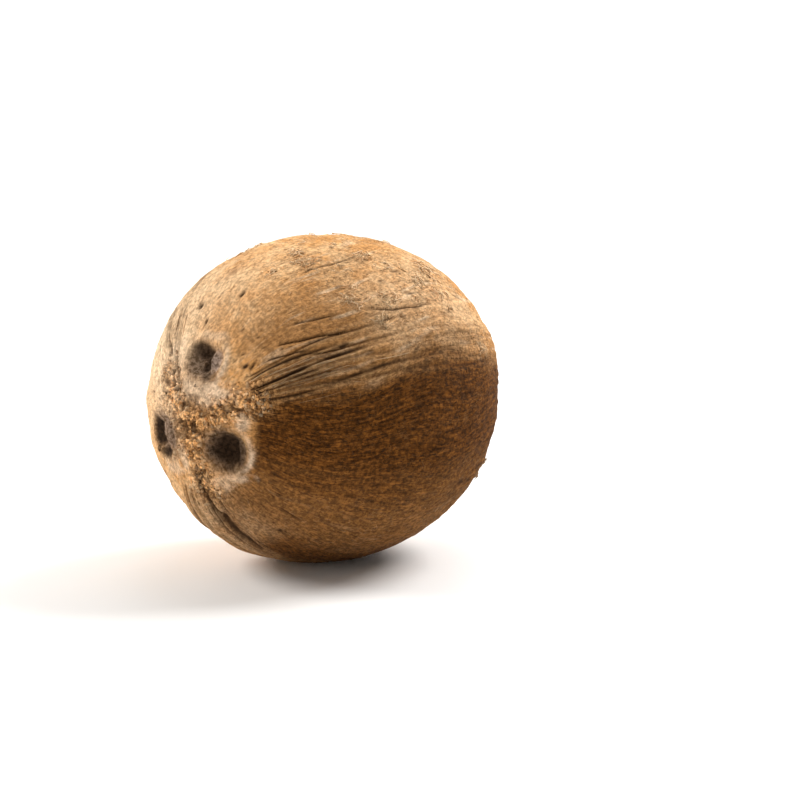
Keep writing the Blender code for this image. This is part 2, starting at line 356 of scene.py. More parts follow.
# grooves that the photograph shows singly: polar and around at three points, half width, depth
grooves = [
    ((39.0, 44.5), (50.0, 50.0), (60.5, 53.0), 0.00040, 0.00085),
    ((46.0, 55.5), (53.0, 58.5), (58.0, 58.5), 0.00040, 0.00070),
    ((46.0, 39.0), (53.0, 42.5), (60.0, 45.5), 0.00034, 0.00050),
    ((33.0, 49.0), (41.0, 52.0), (47.0, 55.0), 0.00034, 0.00045),
    ((16.0, 184.0), (27.0, 181.0), (39.0, 176.5), 0.00060, 0.00100),
    ((18.0, 171.0), (26.0, 172.5), (37.0, 173.5), 0.00060, 0.00100),
    ((34.0, 176.5), (43.0, 177.5), (57.0, 174.0), 0.00135, 0.00090),
    ((28.0, 179.0), (42.0, 181.5), (58.0, 179.0), 0.00050, 0.00070),
    ((33.0, 171.5), (44.0, 172.0), (60.0, 168.0), 0.00050, 0.00060),
    ((24.0, 327.0), (33.0, 322.5), (46.0, 322.0), 0.00050, 0.00090),
    ((31.0, 320.0), (38.0, 319.0), (50.0, 316.0), 0.00040, 0.00070),
    ((40.0, 139.5), (44.5, 139.5), (49.5, 140.5), 0.00050, 0.00090),
    ((35.5, 131.5), (37.5, 131.8), (40.5, 131.0), 0.00040, 0.00070),
    ((62.0, 20.0), (72.0, 23.0), (82.0, 23.5), 0.00035, 0.00045),
    ((70.0, 48.0), (80.0, 51.0), (92.0, 51.0), 0.00040, 0.00060),
]
# single pits: polar, around, half width, half length, depth
pits = [
    (40.8, 344.3, 0.00085, 0.0013, 0.0010),
    (46.3, 5.8, 0.00055, 0.0015, 0.0008),
    (34.1, 354.3, 0.00055, 0.0013, 0.0008),
    (47.9, 152.6, 0.00080, 0.0011, 0.0010),
    (56.6, 58.0, 0.00060, 0.0022, 0.0008),
    (27.5, 43.5, 0.00060, 0.0012, 0.0006),
]
# tufts of loose fibre: polar, around, reach in metres
tufts = [
    (69.1, 40.1, 0.0042), (71.5, 54.0, 0.0036), (92.5, 39.5, 0.0050), (57.7, 10.1, 0.0036),
    (67.0, 16.5, 0.0050), (73.5, 27.3, 0.0030), (65.5, 42.0, 0.0034), (87.0, 31.0, 0.0032),
    (69.8, 8.0, 0.0030), (81.0, 12.0, 0.0036), (79.0, 47.0, 0.0034), (104.0, 36.0, 0.0060),
    (99.0, 50.0, 0.0050), (83.0, 24.0, 0.0040), (128.0, 20.0, 0.0060), (110.0, 70.0, 0.0040),
    (75.0, 340.0, 0.0045), (98.0, 355.0, 0.0055), (62.0, 210.0, 0.0035), (120.0, 120.0, 0.0040),
]
# the bundle of grooves along the first rib: angle off the rib, half width, depth
ribGrooves = [
    (-13.5, 0.7, 0.35), (-11.3, 0.5, 0.45), (-9.2, 0.8, 0.55), (-6.8, 0.5, 0.50), (-4.6, 0.8, 0.80),
    (-2.3, 0.5, 0.45), (-0.4, 0.7, 0.55), (1.6, 0.5, 0.45), (3.8, 0.8, 0.75), (5.9, 0.5, 0.50),
    (7.8, 0.7, 0.55),
]
# how the bundle runs: the polar angles where it starts, and where its grooves and its colour thin out
# and by how much, the noise that breaks it up, its wander in degrees, and its ridges and depths
ribRun = {
    "start": (22.0, 29.0), "thinning": (50.0, 82.0), "thinningShare": 0.65,
    "dulling": (38.0, 64.0), "dullingShare": 0.85,
    "noiseWidth": 0.0030, "noiseLength": 0.0085,
    "noiseRange": (-0.55, 0.25), "noiseLow": 0.45, "noiseGain": 0.75,
    "wander": 1.2, "fineWander": 0.5, "breaks": 0.38,
    "ridgeOffset": 1.2, "ridgeWidth": 0.8, "ridgeHeight": 0.00028,
    "grooveDepth": 0.00085, "grooveTone": 0.55, "toneOffset": 0.5, "toneWidth": 8.5,
}
# creamier areas, partly the husk's own cream and partly painted light, the second of them on the lower left:
# place and spread round the fruit, polar angles where each starts, is full, fades and ends, and strength
paleAndLitAreas = [
    (312.0, 46.0, -9.0, -8.0, 42.0, 78.0, 0.85),
    (174.0, 24.0, 20.0, 28.0, 44.0, 62.0, 0.45),
    (50.0, 20.0, 60.0, 80.0, 104.0, 124.0, 0.26),
]


def arcLength(polar):
    # metres along the fruit from the eye end, close enough for patterns
    return polar * 0.25 * (fruit["width"] + fruit["length"]) * 1.01


def alongFibres(polar, around):
    # a place in fibre space, in metres: a circle for the turn round and a line along the fruit
    wander = 0.05 * np.sin(3.1 * polar + 2.0 * np.sin(around)) + 0.03 * np.sin(7.3 * polar + 3.0 * around)
    turn = around + wander
    radius = 0.5 * fruit["width"]
    return np.stack([radius * np.cos(turn), radius * np.sin(turn), arcLength(polar)], axis=-1)


def fibreNoise(polar, around, width, length, seed, layers):
    # layered noise in fibre space, its grains this wide and this long
    place = alongFibres(polar, around) / np.array([width, width, length])
    return layeredNoise(place, seed, layers)


def scatteredDashes(polar, around, cell, seed):
    # cells in rows along the fruit; each may hold one dash, a bell longer along the fruit
    across, along, share, halfWidth, halfLength, depth = cell
    length = arcLength(polar)
    deepest = np.zeros_like(polar)
    for rowStep in (-1, 0, 1):
        row = np.floor(length / along) + rowStep
        rowPolar = np.clip((row + 0.5) * along, along, arcLength(math.pi) - along) / arcLength(1.0)
        cells = np.maximum(np.round(tau * 0.5 * fruit["width"] * np.sin(rowPolar) / across), 5.0)
        for columnStep in (-1, 0, 1):
            column = (np.floor(around / tau * cells) + columnStep) % cells
            drawn = [hashShare(row, column, seed, float(number)) for number in range(1, 6)]
            atLength = (row + 0.2 + 0.6 * drawn[0]) * along
            atAround = (column + 0.2 + 0.6 * drawn[1]) / cells * tau
            size = (drawn[2] < share) * (0.4 + 1.0 * drawn[3] ** 2)
            slant = 0.8 * (drawn[4] - 0.5)
            side = metresAside(polar, around, atAround)
            ahead = length - atLength
            side, ahead = side - slant * ahead, ahead + slant * side
            reach = np.maximum(size, 0.4)
            dash = bell(side, halfWidth * reach) * bell(ahead, halfLength * reach) * size
            deepest = np.maximum(deepest, dash)
    return deepest, deepest * depth


def singleGrooves(polar, around):
    # each groove follows a parabola through its three points, and fades at both ends
    mask = np.zeros_like(polar)
    relief = np.zeros_like(polar)
    degrees = np.degrees(polar)
    for first, middle, last, halfWidth, depth in grooves:
        curve = np.polyfit([first[0], middle[0], last[0]], [first[1], middle[1], last[1]], 2)
        wobble = 0.22 * np.sin(degrees * 0.7 + first[1])
        side = metresAside(polar, around, np.radians(np.polyval(curve, degrees) + wobble))
        ends = between(degrees, first[0] - 1.0, first[0] + 3.0, last[0] - 3.0, last[0] + 1.0)
        groove = bell(side, halfWidth) * ends
        mask = np.maximum(mask, groove)
        relief -= depth * groove
    for atPolar, atAround, halfWidth, halfLength, depth in pits:
        ahead = arcLength(polar) - arcLength(math.radians(atPolar))
        pit = bell(metresAside(polar, around, math.radians(atAround)), halfWidth) * bell(ahead, halfLength)
        mask = np.maximum(mask, np.minimum(1.5 * pit, 1.0))
        relief -= depth * pit
    return mask, relief


def ribBundle(polar, around):
    # grooves side by side along each rib, each wandering and breaking off in places, with a pale
    # ridge between each pair
    mask = np.zeros_like(polar)
    ridge = np.zeros_like(polar)
    relief = np.zeros_like(polar)
    tone = np.zeros_like(polar)
    degrees = np.degrees(polar)
    starts = smoothStep(*ribRun["start"], degrees) * tipFade(polar)
    fade = starts * (1.0 - ribRun["thinningShare"] * smoothStep(*ribRun["thinning"], degrees))
    dull = starts * (1.0 - ribRun["dullingShare"] * smoothStep(*ribRun["dulling"], degrees))
    noise = fibreNoise(polar, around, ribRun["noiseWidth"], ribRun["noiseLength"], seeds["ribs"], 2)
    rough = ribRun["noiseLow"] + ribRun["noiseGain"] * smoothStep(*ribRun["noiseRange"], noise)
    for number, (ribAround, _, share) in enumerate(fruit["ribs"]):
        turn = turnFrom(around, ribAround)
        for order, (offset, halfWidth, depth) in enumerate(ribGrooves):
            wander = ribRun["wander"] * np.sin(4.0 * polar + 1.3 * order + number)
            wander = wander + ribRun["fineWander"] * np.sin(11.0 * polar + 2.1 * order)
            whole = 1.0 - ribRun["breaks"] * (1.0 - np.sin(5.0 * polar + 2.6 * order + 3.0 * number))
            aside = turn - offset - wander
            groove = bell(aside, halfWidth) * fade * whole * share * rough
            beside = bell(aside - ribRun["ridgeOffset"], ribRun["ridgeWidth"]) * fade * share
            mask = np.maximum(mask, np.minimum(groove * (depth + ribRun["grooveTone"]), 1.0))
            ridge = np.maximum(ridge, beside * depth)
            relief += ribRun["ridgeHeight"] * depth * beside - ribRun["grooveDepth"] * depth * groove
        tone = np.maximum(tone, bell(turn + ribRun["toneOffset"], ribRun["toneWidth"]) * dull * share ** 3)
    return mask, ridge, relief, tone


def ellipses(right, above, patches, warp, inner, outer):
    # the strongest of several soft ellipses whose edges are warped by noise
    mask = np.zeros_like(right)
    for middleRight, middleAbove, halfAcross, halfUp, strength in patches:
        reach = np.hypot((right - middleRight) / halfAcross, (above - middleAbove) / halfUp)
        mask = np.maximum(mask, strength * (1.0 - smoothStep(inner, outer, reach + warp)))
    return mask


# how each eye is coloured: the inner and outer edge of each patch as shares of its ellipse, how far
# noise warps them, the place and width of the pale rim as shares of the radius, and two heights
eyePaint = {
    "roughScale": 26.0, "fineScale": 70.0,
    "plugEdge": (0.45, 1.25), "plugWarp": (0.16, 0.10),
    "charAndShadowEdge": (0.45, 1.15), "charAndShadowWarp": (0.10, 0.05),
    "greyEdge": (0.45, 1.20), "greyWarp": 0.12,
    "haloEdge": (0.40, 1.35), "haloWarp": 0.34,
    "rimPlace": 1.13, "rimWarp": 0.05, "rimWidth": 0.15,
    "charAndShadowDepth": 0.0009, "fineHeight": 0.00014,
}


def eyeDetail(polar, around):
    # each eye's darkest patches, partly its own charcoal and partly painted shadow in the dip, its grey edge
    # and plug, the pale husk round it, and the relief of each
    masks = {name: np.zeros_like(polar) for name in ("charAndShadow", "grey", "plug", "halo")}
    relief = np.zeros_like(polar)
    sphere = spherePoint(polar, around)
    rough = layeredNoise(sphere * eyePaint["roughScale"], seeds["eyeRough"], 3)
    fine = layeredNoise(sphere * eyePaint["fineScale"], seeds["eyeFine"], 2)

    def warped(name):
        # the two noises, each times the patch's own share of it
        return eyePaint[name][0] * rough + eyePaint[name][1] * fine

    for eye in eyes:
        right, above = besideEye(polar, around, eye)
        plugPatch = [eye["plug"][:4] + (1.0,)]
        plug = ellipses(right, above, plugPatch, warped("plugWarp"), *eyePaint["plugEdge"])
        charAndShadow = ellipses(right, above, eye["charAndShadow"], warped("charAndShadowWarp"), *eyePaint["charAndShadowEdge"])
        charAndShadow *= 1.0 - eye["plugPale"] ** 0.5 * plug
        grey = ellipses(right, above, eye["grey"], eyePaint["greyWarp"] * rough, *eyePaint["greyEdge"])
        halo = ellipses(right, above, eye["halo"], eyePaint["haloWarp"] * rough, *eyePaint["haloEdge"])
        rimPlace, rimSpread, rimStrength = eye["rim"]
        fromRim = turnBetween(np.arctan2(right, above), math.radians(rimPlace))
        reach = np.hypot(right, above) / eye["radius"]
        rim = bell(reach - eyePaint["rimPlace"] - eyePaint["rimWarp"] * rough, eyePaint["rimWidth"])
        rim *= rimStrength * bell(fromRim, math.radians(rimSpread))
        found = {"charAndShadow": charAndShadow, "grey": grey, "plug": plug * eye["plugPale"], "halo": np.maximum(halo, rim)}
        for name, mask in found.items():
            masks[name] = np.maximum(masks[name], mask)
        relief -= eyePaint["charAndShadowDepth"] * charAndShadow
    relief += eyePaint["fineHeight"] * fine * np.maximum(masks["grey"], masks["halo"])
    return masks, relief


def tuftMask(polar, around):
    # a soft round patch at each tuft
    sphere = spherePoint(polar, around)
    mask = np.zeros_like(polar)
    for atPolar, atAround, reach in tufts:
        mask = np.maximum(mask, nearPlace(sphere, atPolar, atAround, 2.0 * reach / fruit["width"]))
    return mask


# the crumbly patch: the reach of its middle in degrees, the angle round and the length of each arm, the
# shares of that length at which a round spot lies, and the reach of a spot on the unit sphere
crumbPatch = {
    "middle": 10.0, "arms": [(70.0, 33.0), (174.0, 29.0), (318.0, 22.0)],
    "spots": (0.35, 0.6, 0.85), "spotReach": 0.075,
}


def crumbArea(polar, around):
    # the Y-shaped patch of crumbly husk between the eyes, and out along the start of each rib
    sphere = spherePoint(polar, around)
    area = bell(polar, math.radians(crumbPatch["middle"]))
    for armAround, armLength in crumbPatch["arms"]:
        for share in crumbPatch["spots"]:
            spot = nearPlace(sphere, armLength * share, armAround, crumbPatch["spotReach"])
            area = np.maximum(area, spot)
    return area


# where the husk is loose: the side it faces and its spread, the polar angles over which it starts, its
# least share all round, and the clumps that break it up
looseArea = {
    "place": 15.0, "spread": 60.0, "start": (42.0, 80.0), "allRound": 0.40,
    "clumpScale": 5.0, "clumpLow": 0.75, "clumpGain": 0.5, "patchShare": 0.25, "patchRange": (0.0, 0.8),
}


def looseness(polar, around):
    # how loose the husk is: 0 near the eyes, 1 where it is rough at the top and towards the tip
    facing = bell(turnFrom(around, looseArea["place"]), looseArea["spread"])
    side = smoothStep(*looseArea["start"], np.degrees(polar))
    side = side * (looseArea["allRound"] + (1.0 - looseArea["allRound"]) * facing)
    clumps = layeredNoise(spherePoint(polar, around) * looseArea["clumpScale"], seeds["clumps"], 2)
    patches = looseArea["patchShare"] * smoothStep(*looseArea["patchRange"], clumps)
    return np.clip(side * (looseArea["clumpLow"] + looseArea["clumpGain"] * clumps) + patches, 0.0, 1.0)


def sizedNoise(polar, around, size, seed):
    # noise whose bumps are about this many metres wide
    place = spherePoint(polar, around) * 0.5 * fruit["width"] / size
    return layeredNoise(place, seed, 2)


# the fine relief: heights in metres, and how much one area strengthens or stills another
fineShape = {
    "eyeEnd": (16.0, 34.0), "eyeEndLumps": 0.00008, "haloInCrumbs": 0.50,
    "stirred": 0.35, "stirLoose": 0.65, "stirDark": 1.10,
    "gapRange": (0.10, 0.50), "gapGrit": 0.4, "gapTone": 0.95,
    "dashInHalo": 0.6, "dashTone": 0.75,
    "clumpRange": (0.25, 0.75), "clumpInDark": 0.8, "clumpHeight": 0.6, "clumpLow": 0.75, "clumpLumps": 0.5,
    "clumpTone": 0.45, "looseSink": 0.00045,
    "tuftRange": (-0.5, 0.5), "tuftGrit": 0.5, "tuftHeight": 0.00035, "tuftLumps": 0.00020,
    "ribInDark": 0.5, "ridgeInDark": 0.65, "wornFlat": 0.8,
}


def fineRelief(polar, around, worn):
    # everything finer than the solid carries, with the masks that colour it
    shape = fineShape
    eyeMasks, eyeFine = eyeDetail(polar, around)
    quiet = 1.0 - np.maximum(eyeMasks["charAndShadow"], eyeMasks["grey"])
    crumb = crumbArea(polar, around) * quiet
    halo = eyeMasks["halo"] * quiet * (1.0 - shape["haloInCrumbs"] * crumb)
    awayFromEyes = smoothStep(*shape["eyeEnd"], np.degrees(polar))
    loose = looseness(polar, around)
    dark = brownAndShadeSide(polar, around)
    lumps = sizedNoise(polar, around, husk["crumbSize"], seeds["lumps"])
    grit = sizedNoise(polar, around, husk["gritSize"], seeds["grit"])
    # fibres and mats away from the eyes, and lumps and grit near them
    fibres = fibreNoise(polar, around, husk["fibreWidth"], husk["fibreLength"], seeds["fibres"], 3)
    mats = fibreNoise(polar, around, husk["matWidth"], husk["matLength"], seeds["mats"], 2)
    stirred = shape["stirred"] + np.maximum(shape["stirLoose"] * loose, shape["stirDark"] * dark)
    relief = (husk["fibreHeight"] * fibres * stirred + husk["matHeight"] * mats) * awayFromEyes
    relief += (husk["crumbHeight"] * lumps + husk["gritHeight"] * grit) * crumb
    relief += shape["eyeEndLumps"] * lumps * quiet * (1.0 - awayFromEyes)
    # painted shade in the gaps between the lumps of the crumbly patch
    groove = shape["gapTone"] * crumb * smoothStep(*shape["gapRange"], -lumps - shape["gapGrit"] * grit)
    # dashes, darkened partly as the husk's dark specks and partly as painted shade in their dents, clumps and
    # tufts
    for number, cell in enumerate(husk["dashCells"]):
        dash, depth = scatteredDashes(polar, around, cell, seeds["dashes"] + number)
        keep = quiet * (1.0 - shape["dashInHalo"] * halo)
        relief -= depth * keep
        groove = np.maximum(groove, dash * keep * shape["dashTone"])
    clump, clumpHeight = scatteredDashes(polar, around, husk["clumpCell"], seeds["clumpDashes"])
    there = smoothStep(*shape["clumpRange"], loose) * quiet * (1.0 - halo)
    there = there * (1.0 - shape["clumpInDark"] * dark)
    relief += shape["clumpHeight"] * clumpHeight * (shape["clumpLow"] + shape["clumpLumps"] * lumps) * there
    relief -= shape["looseSink"] * loose
    tuft = tuftMask(polar, around) * smoothStep(*shape["tuftRange"], lumps + shape["tuftGrit"] * grit)
    relief += (shape["tuftHeight"] + shape["tuftLumps"] * lumps) * tuft * quiet
    # single grooves and the bundles along the ribs, darkened with painted shade
    single, singleDepth = singleGrooves(polar, around)
    bundle, ridge, bundleDepth, ribTone = ribBundle(polar, around)
    relief += (singleDepth + bundleDepth) * quiet
    groove = np.maximum(groove, np.maximum(single, bundle) * quiet)
    relief = relief * (1.0 - shape["wornFlat"] * worn) + eyeFine
    masks = {
        # partly the eyes' own charcoal and partly painted shadow in their dips
        "charAndShadowMask": eyeMasks["charAndShadow"],
        "plugMask": eyeMasks["plug"],
        "greyMask": eyeMasks["grey"],
        "haloMask": halo,
        "crumbMask": crumb,
        # painted shade in grooves, pits and the gaps between crumbs, and partly dark specks in the dashes
        "grooveAndShadeMask": groove,
        "ribMask": ribTone * (1.0 - shape["ribInDark"] * dark),
        "ridgeMask": ridge * (1.0 - shape["ridgeInDark"] * dark),
        "clumpMask": np.maximum(shape["clumpTone"] * clump * there, tuft),
        # partly browner husk and partly painted shade below the first rib, deepest at the foot
        "brownAndShadeMask": dark,
        # browner near the first rib, partly the husk's colour and partly painted shade
        "warmAndShadeMask": warmAndShadeSide(polar, around),
        # partly cream husk and partly painted light on the lower left
        "paleAndLitMask": paleAndLitSide(polar, around, loose) * (1.0 - dark),
        "looseMask": loose,
    }
    return relief, masks


# the side below the first rib, partly browner husk and partly painted shade where it turns from the lights,
# in turns from the first rib: its edge, where it thins and ends and by how much, the painted shade at the
# darker foot of the fruit, the polar angles where it starts and ends, and the noise on its edges
brownAndShadeArea = {
    "rib": 65.0, "farTurn": 240.0, "edge": (-6.0, 14.0), "edgeWave": 3.0, "edgeWaves": 5.0,
    "edgeNoise": 5.0, "noiseWidth": 0.0045, "noiseLength": 0.022,
    "thinning": (34.0, 74.0), "thinningShare": 0.42, "ending": (100.0, 138.0), "endingShare": 0.58,
    "foot": 98.0, "footSpread": 15.0, "footStart": (44.0, 56.0), "footShare": 0.38,
    "start": (22.0, 27.0), "tip": (122.0, 164.0), "tipNoise": 9.0, "tipScale": 6.0,
}


def brownAndShadeSide(polar, around):
    # 1 on the side below the first rib, partly browner husk and partly painted shade, with more painted shade
    # at the foot of the fruit; 0 on the paler side above it
    area = brownAndShadeArea
    degrees = np.degrees(polar)
    turn = turnFrom(around, area["rib"]) % 360.0
    turn = np.where(turn > area["farTurn"], turn - 360.0, turn)
    noise = fibreNoise(polar, around, area["noiseWidth"], area["noiseLength"], seeds["darkEdge"], 3)
    turn = turn + area["edgeWave"] * np.sin(area["edgeWaves"] * polar) + area["edgeNoise"] * noise
    strength = 1.0 - area["thinningShare"] * smoothStep(*area["thinning"], turn)
    strength -= area["endingShare"] * smoothStep(*area["ending"], turn)
    foot = bell(turn - area["foot"], area["footSpread"]) * smoothStep(*area["footStart"], degrees)
    strength += area["footShare"] * foot
    tipNoise = softNoise(spherePoint(polar, around) * area["tipScale"], seeds["darkEnd"])
    ends = smoothStep(*area["start"], degrees)
    ends = ends * (1.0 - smoothStep(*area["tip"], degrees + area["tipNoise"] * tipNoise))
    return np.minimum(smoothStep(*area["edge"], turn) * strength * ends, 1.0)


# the warmer, darker husk above and below the first rib, partly its own colour and partly painted shade near
# the rib: turns and polar angles where each part starts, is full, fades and ends, the noise on its ends, and
# a chip: polar, around and reach on the unit sphere
warmAndShadeArea = {
    "aboveTurn": (4.0, 52.0, 75.0, 95.0), "abovePolar": (24.0, 34.0, 54.0, 88.0),
    "belowStart": (62.0, 80.0), "belowFade": (138.0, 172.0), "belowShare": 0.9,
    "belowPolar": (20.0, 28.0, 130.0, 168.0),
    "noise": 4.0, "noiseScale": 7.0, "chip": (56.4, 350.4, 0.045),
}


def warmAndShadeSide(polar, around):
    # browner towards the first rib on its upper side, fading out before the fruit's middle, and below it:
    # partly the husk's own colour and partly painted shade where the surface turns from the lights
    area = warmAndShadeArea
    sphere = spherePoint(polar, around)
    turn = turnFrom(around, 0.0)
    degrees = np.degrees(polar) + area["noise"] * softNoise(sphere * area["noiseScale"], seeds["warm"])
    above = between(turn, *area["aboveTurn"]) * between(degrees, *area["abovePolar"])
    below = smoothStep(*area["belowStart"], turn)
    below = below * (1.0 - area["belowShare"] * smoothStep(*area["belowFade"], turn))
    below = below * between(degrees, *area["belowPolar"])
    return np.maximum(np.maximum(above, below), nearPlace(sphere, *area["chip"]))


# the cream of those areas: the noise on their ends, and thin smears in fibre space
paleTouch = {
    "noise": 5.0, "noiseScale": 6.0, "smearWidth": 0.0017, "smearLength": 0.013,
    "smearRange": (0.42, 0.80), "smearLow": 0.25, "smearShare": 0.8,
}


def paleAndLitSide(polar, around, loose):
    # creamier in a few broad areas, one of them painted light on the lower left, and in thin smears along the
    # fibres where it is loose
    touch = paleTouch
    sphere = spherePoint(polar, around)
    degrees = np.degrees(polar) + touch["noise"] * softNoise(sphere * touch["noiseScale"], seeds["pale"])
    broad = np.zeros_like(polar)
    for place, spread, first, full, fading, last, strength in paleAndLitAreas:
        area = bell(turnFrom(around, place), spread) * between(degrees, first, full, fading, last)
        broad = np.maximum(broad, strength * area)
    noise = fibreNoise(polar, around, touch["smearWidth"], touch["smearLength"], seeds["smears"], 2)
    smears = smoothStep(*touch["smearRange"], noise)
    smears = smears * (touch["smearLow"] + (1.0 - touch["smearLow"]) * loose)
    return np.maximum(broad, touch["smearShare"] * smears)


def huskSurface(polar, around):
    # the whole finished surface: the plain one moved along its normals by the fine relief
    points, normals, worn = plainSurface(polar, around)
    relief, masks = fineRelief(polar, around, worn)
    points = points + normals * relief[..., None] + frameShift
    points[..., 2] = np.maximum(points[..., 2], cadBox[0][2])
    return points, normals, masks


def sharedOut(count, span, crowd):
    # count + 1 angles over span, closer together where crowd is large
    angle = np.linspace(0.0, span, 2881)
    weight = crowd(angle)
    passed = np.concatenate([[0.0], np.cumsum(0.5 * (weight[1:] + weight[:-1]))])
    return np.interp(np.linspace(0.0, 1.0, count + 1), passed / passed[-1], angle)


def addAttribute(mesh, name, values):
    # one number for each point, which the materials read
    layer = mesh.attributes.new(name, "FLOAT", "POINT")
    layer.data.foreach_set("value", np.asarray(values, dtype=np.float32))


def addPlaces(mesh, name, values):
    # one place for each point, which the materials read
    layer = mesh.attributes.new(name, "FLOAT_VECTOR", "POINT")
    layer.data.foreach_set("vector", np.asarray(values, dtype=np.float32).ravel())


def meshFrom(name, points, quads, triangles):
    # a mesh from whole arrays of corner numbers, smooth shaded
    mesh = bpy.data.meshes.new(name)
    loops = np.concatenate([quads.ravel(), triangles.ravel()]).astype(np.int32)
    sizes = np.concatenate([np.full(len(quads), 4), np.full(len(triangles), 3)]).astype(np.int32)
    starts = np.concatenate([[0], np.cumsum(sizes)[:-1]]).astype(np.int32)
    mesh.vertices.add(len(points))
    mesh.vertices.foreach_set("co", points.astype(np.float32).ravel())
    mesh.loops.add(len(loops))
    mesh.loops.foreach_set("vertex_index", loops)
    mesh.polygons.add(len(sizes))
    mesh.polygons.foreach_set("loop_start", starts)
    mesh.polygons.foreach_set("use_smooth", np.ones(len(sizes), dtype=bool))
    mesh.update(calc_edges=True)
    mesh.validate()
    return mesh


def bakeMap(mesh, places):
    # the piece's own flat map, one place for each face corner
    layer = mesh.uv_layers.new(name="OFBake")
    layer.data.foreach_set("uv", places.astype(np.float32).ravel())


def cornerPlaces(acrossPlaces, upPlaces):
    # flat places face by face, from the places across and up of each corner in turn
    pairs = zip(acrossPlaces, upPlaces)
    corners = [np.stack(np.broadcast_arrays(across, up), axis=-1) for across, up in pairs]
    return np.stack(corners, axis=1).reshape(-1, 2)


def cellPlaces(count, inside):
    # the same flat places in a cell of its own for each thing, a little inside the cell's edges
    cells = int(math.ceil(math.sqrt(count)))
    numbers = np.arange(count)
    cellCorners = np.stack([numbers % cells, numbers // cells], axis=-1)[:, None, :]
    return ((cellCorners + 0.05 + 0.9 * inside.reshape(1, -1, 2)) / cells).reshape(-1, 2)


def addPiece(name, mesh, material):
    # a finished piece at the origin, with its material and what it rides
    piece = bpy.data.objects.new(name, mesh)
    bpy.context.scene.collection.objects.link(piece)
    mesh.materials.append(material)
    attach(piece, "root")
    return piece


# colours of the husk, as linear red, green and blue
colours = {
    "upper": (0.690, 0.425, 0.210, 1.0),
    "upperWarm": (0.580, 0.288, 0.098, 1.0),
    "pale": (0.800, 0.600, 0.400, 1.0),
    # middle and middleWarm: the browner husk near and below the first rib, partly painted shade
    "middle": (0.285, 0.130, 0.040, 1.0),
    "middleWarm": (0.410, 0.200, 0.068, 1.0),
    # lower and lowerWarm: the side below the first rib, partly browner husk and partly painted shade
    "lower": (0.050, 0.016, 0.002, 1.0),
    "lowerWarm": (0.190, 0.070, 0.013, 1.0),
    # crevice: painted shade in cracks and dashes
    "creviceShade": (0.210, 0.100, 0.036, 1.0),
    "rib": (0.195, 0.094, 0.031, 1.0),
    "ridge": (0.600, 0.375, 0.185, 1.0),
    # groove: painted shade in grooves, pits, dashes and the gaps between crumbs
    "groove": (0.026, 0.011, 0.004, 1.0),
    "crumb": (0.860, 0.455, 0.170, 1.0),
    "crumbDark": (0.210, 0.088, 0.028, 1.0),
    "clump": (0.740, 0.500, 0.280, 1.0),
    "halo": (0.700, 0.530, 0.375, 1.0),
    # the two darkest eye colours: partly the eyes' own charcoal and partly painted shadow in their dips
    "charAndShadow": (0.014, 0.007, 0.003, 1.0),
    "charAndShadowEdge": (0.040, 0.022, 0.012, 1.0),
    "grey": (0.230, 0.165, 0.125, 1.0),
    "plug": (0.370, 0.275, 0.220, 1.0),
    "plugDark": (0.110, 0.075, 0.055, 1.0),
    "straw": (0.760, 0.560, 0.350, 1.0),
}
maskNames = [
    "brownAndShadeMask", "warmAndShadeMask", "paleAndLitMask", "looseMask", "ribMask", "ridgeMask", "haloMask", "crumbMask",
    "clumpMask", "grooveAndShadeMask", "greyMask", "plugMask", "charAndShadowMask",
]


def newGroup(name, inputs, outputs):
    # an empty node group with these sockets, and its two ends
    group = bpy.data.node_groups.new(name, "ShaderNodeTree")
    for label, kind in inputs:
        group.interface.new_socket(name=label, in_out="INPUT", socket_type="NodeSocket" + kind)
    for label, kind in outputs:
        group.interface.new_socket(name=label, in_out="OUTPUT", socket_type="NodeSocket" + kind)
    return group, group.nodes.new("NodeGroupInput"), group.nodes.new("NodeGroupOutput")


def putIn(tree, socket, value):
    # links a socket to another, or sets it to a plain number or colour
    if isinstance(value, bpy.types.NodeSocket):
        tree.links.new(value, socket)
    else:
        socket.default_value = value


def blendColours(tree, share, first, second, how="MIX"):
    # first where share is 0 and second where it is 1; each may be a socket or a plain colour
    node = tree.nodes.new("ShaderNodeMix")
    node.data_type = "RGBA"
    node.blend_type = how
    putIn(tree, node.inputs["Factor"], share)
    putIn(tree, node.inputs[6], first)
    putIn(tree, node.inputs[7], second)
    return node.outputs[2]


def workOut(tree, operation, first, second=0.0, third=0.0):
    # one sum of up to three values, each a socket or a plain number
    node = tree.nodes.new("ShaderNodeMath")
    node.operation = operation
    for socket, value in zip(node.inputs, (first, second, third)):
        putIn(tree, socket, value)
    return node.outputs[0]


def greyOf(tree, value):
    # a grey colour of this brightness
    node = tree.nodes.new("ShaderNodeCombineColor")
    for socket in node.inputs[:3]:
        tree.links.new(value, socket)
    return node.outputs["Color"]


def rangeOf(tree, value, low, high, toLow=0.0, toHigh=1.0):
    # low to high carried over to toLow to toHigh along an S
    node = tree.nodes.new("ShaderNodeMapRange")
    node.interpolation_type = "SMOOTHSTEP"
    tree.links.new(value, node.inputs["Value"])
    for name, number in (("From Min", low), ("From Max", high), ("To Min", toLow), ("To Max", toHigh)):
        node.inputs[name].default_value = number
    return node.outputs["Result"]


def noiseOf(tree, vector, stretch, scale, detail, roughness):
    # noise whose grain is longer along the fruit where stretch is below 1
    mapping = tree.nodes.new("ShaderNodeMapping")
    mapping.inputs["Scale"].default_value = (1.0, 1.0, stretch)
    tree.links.new(vector, mapping.inputs["Vector"])
    node = tree.nodes.new("ShaderNodeTexNoise")
    for name, value in (("Scale", scale), ("Detail", detail), ("Roughness", roughness)):
        node.inputs[name].default_value = value
    tree.links.new(mapping.outputs["Vector"], node.inputs["Vector"])
    return node.outputs["Fac"]


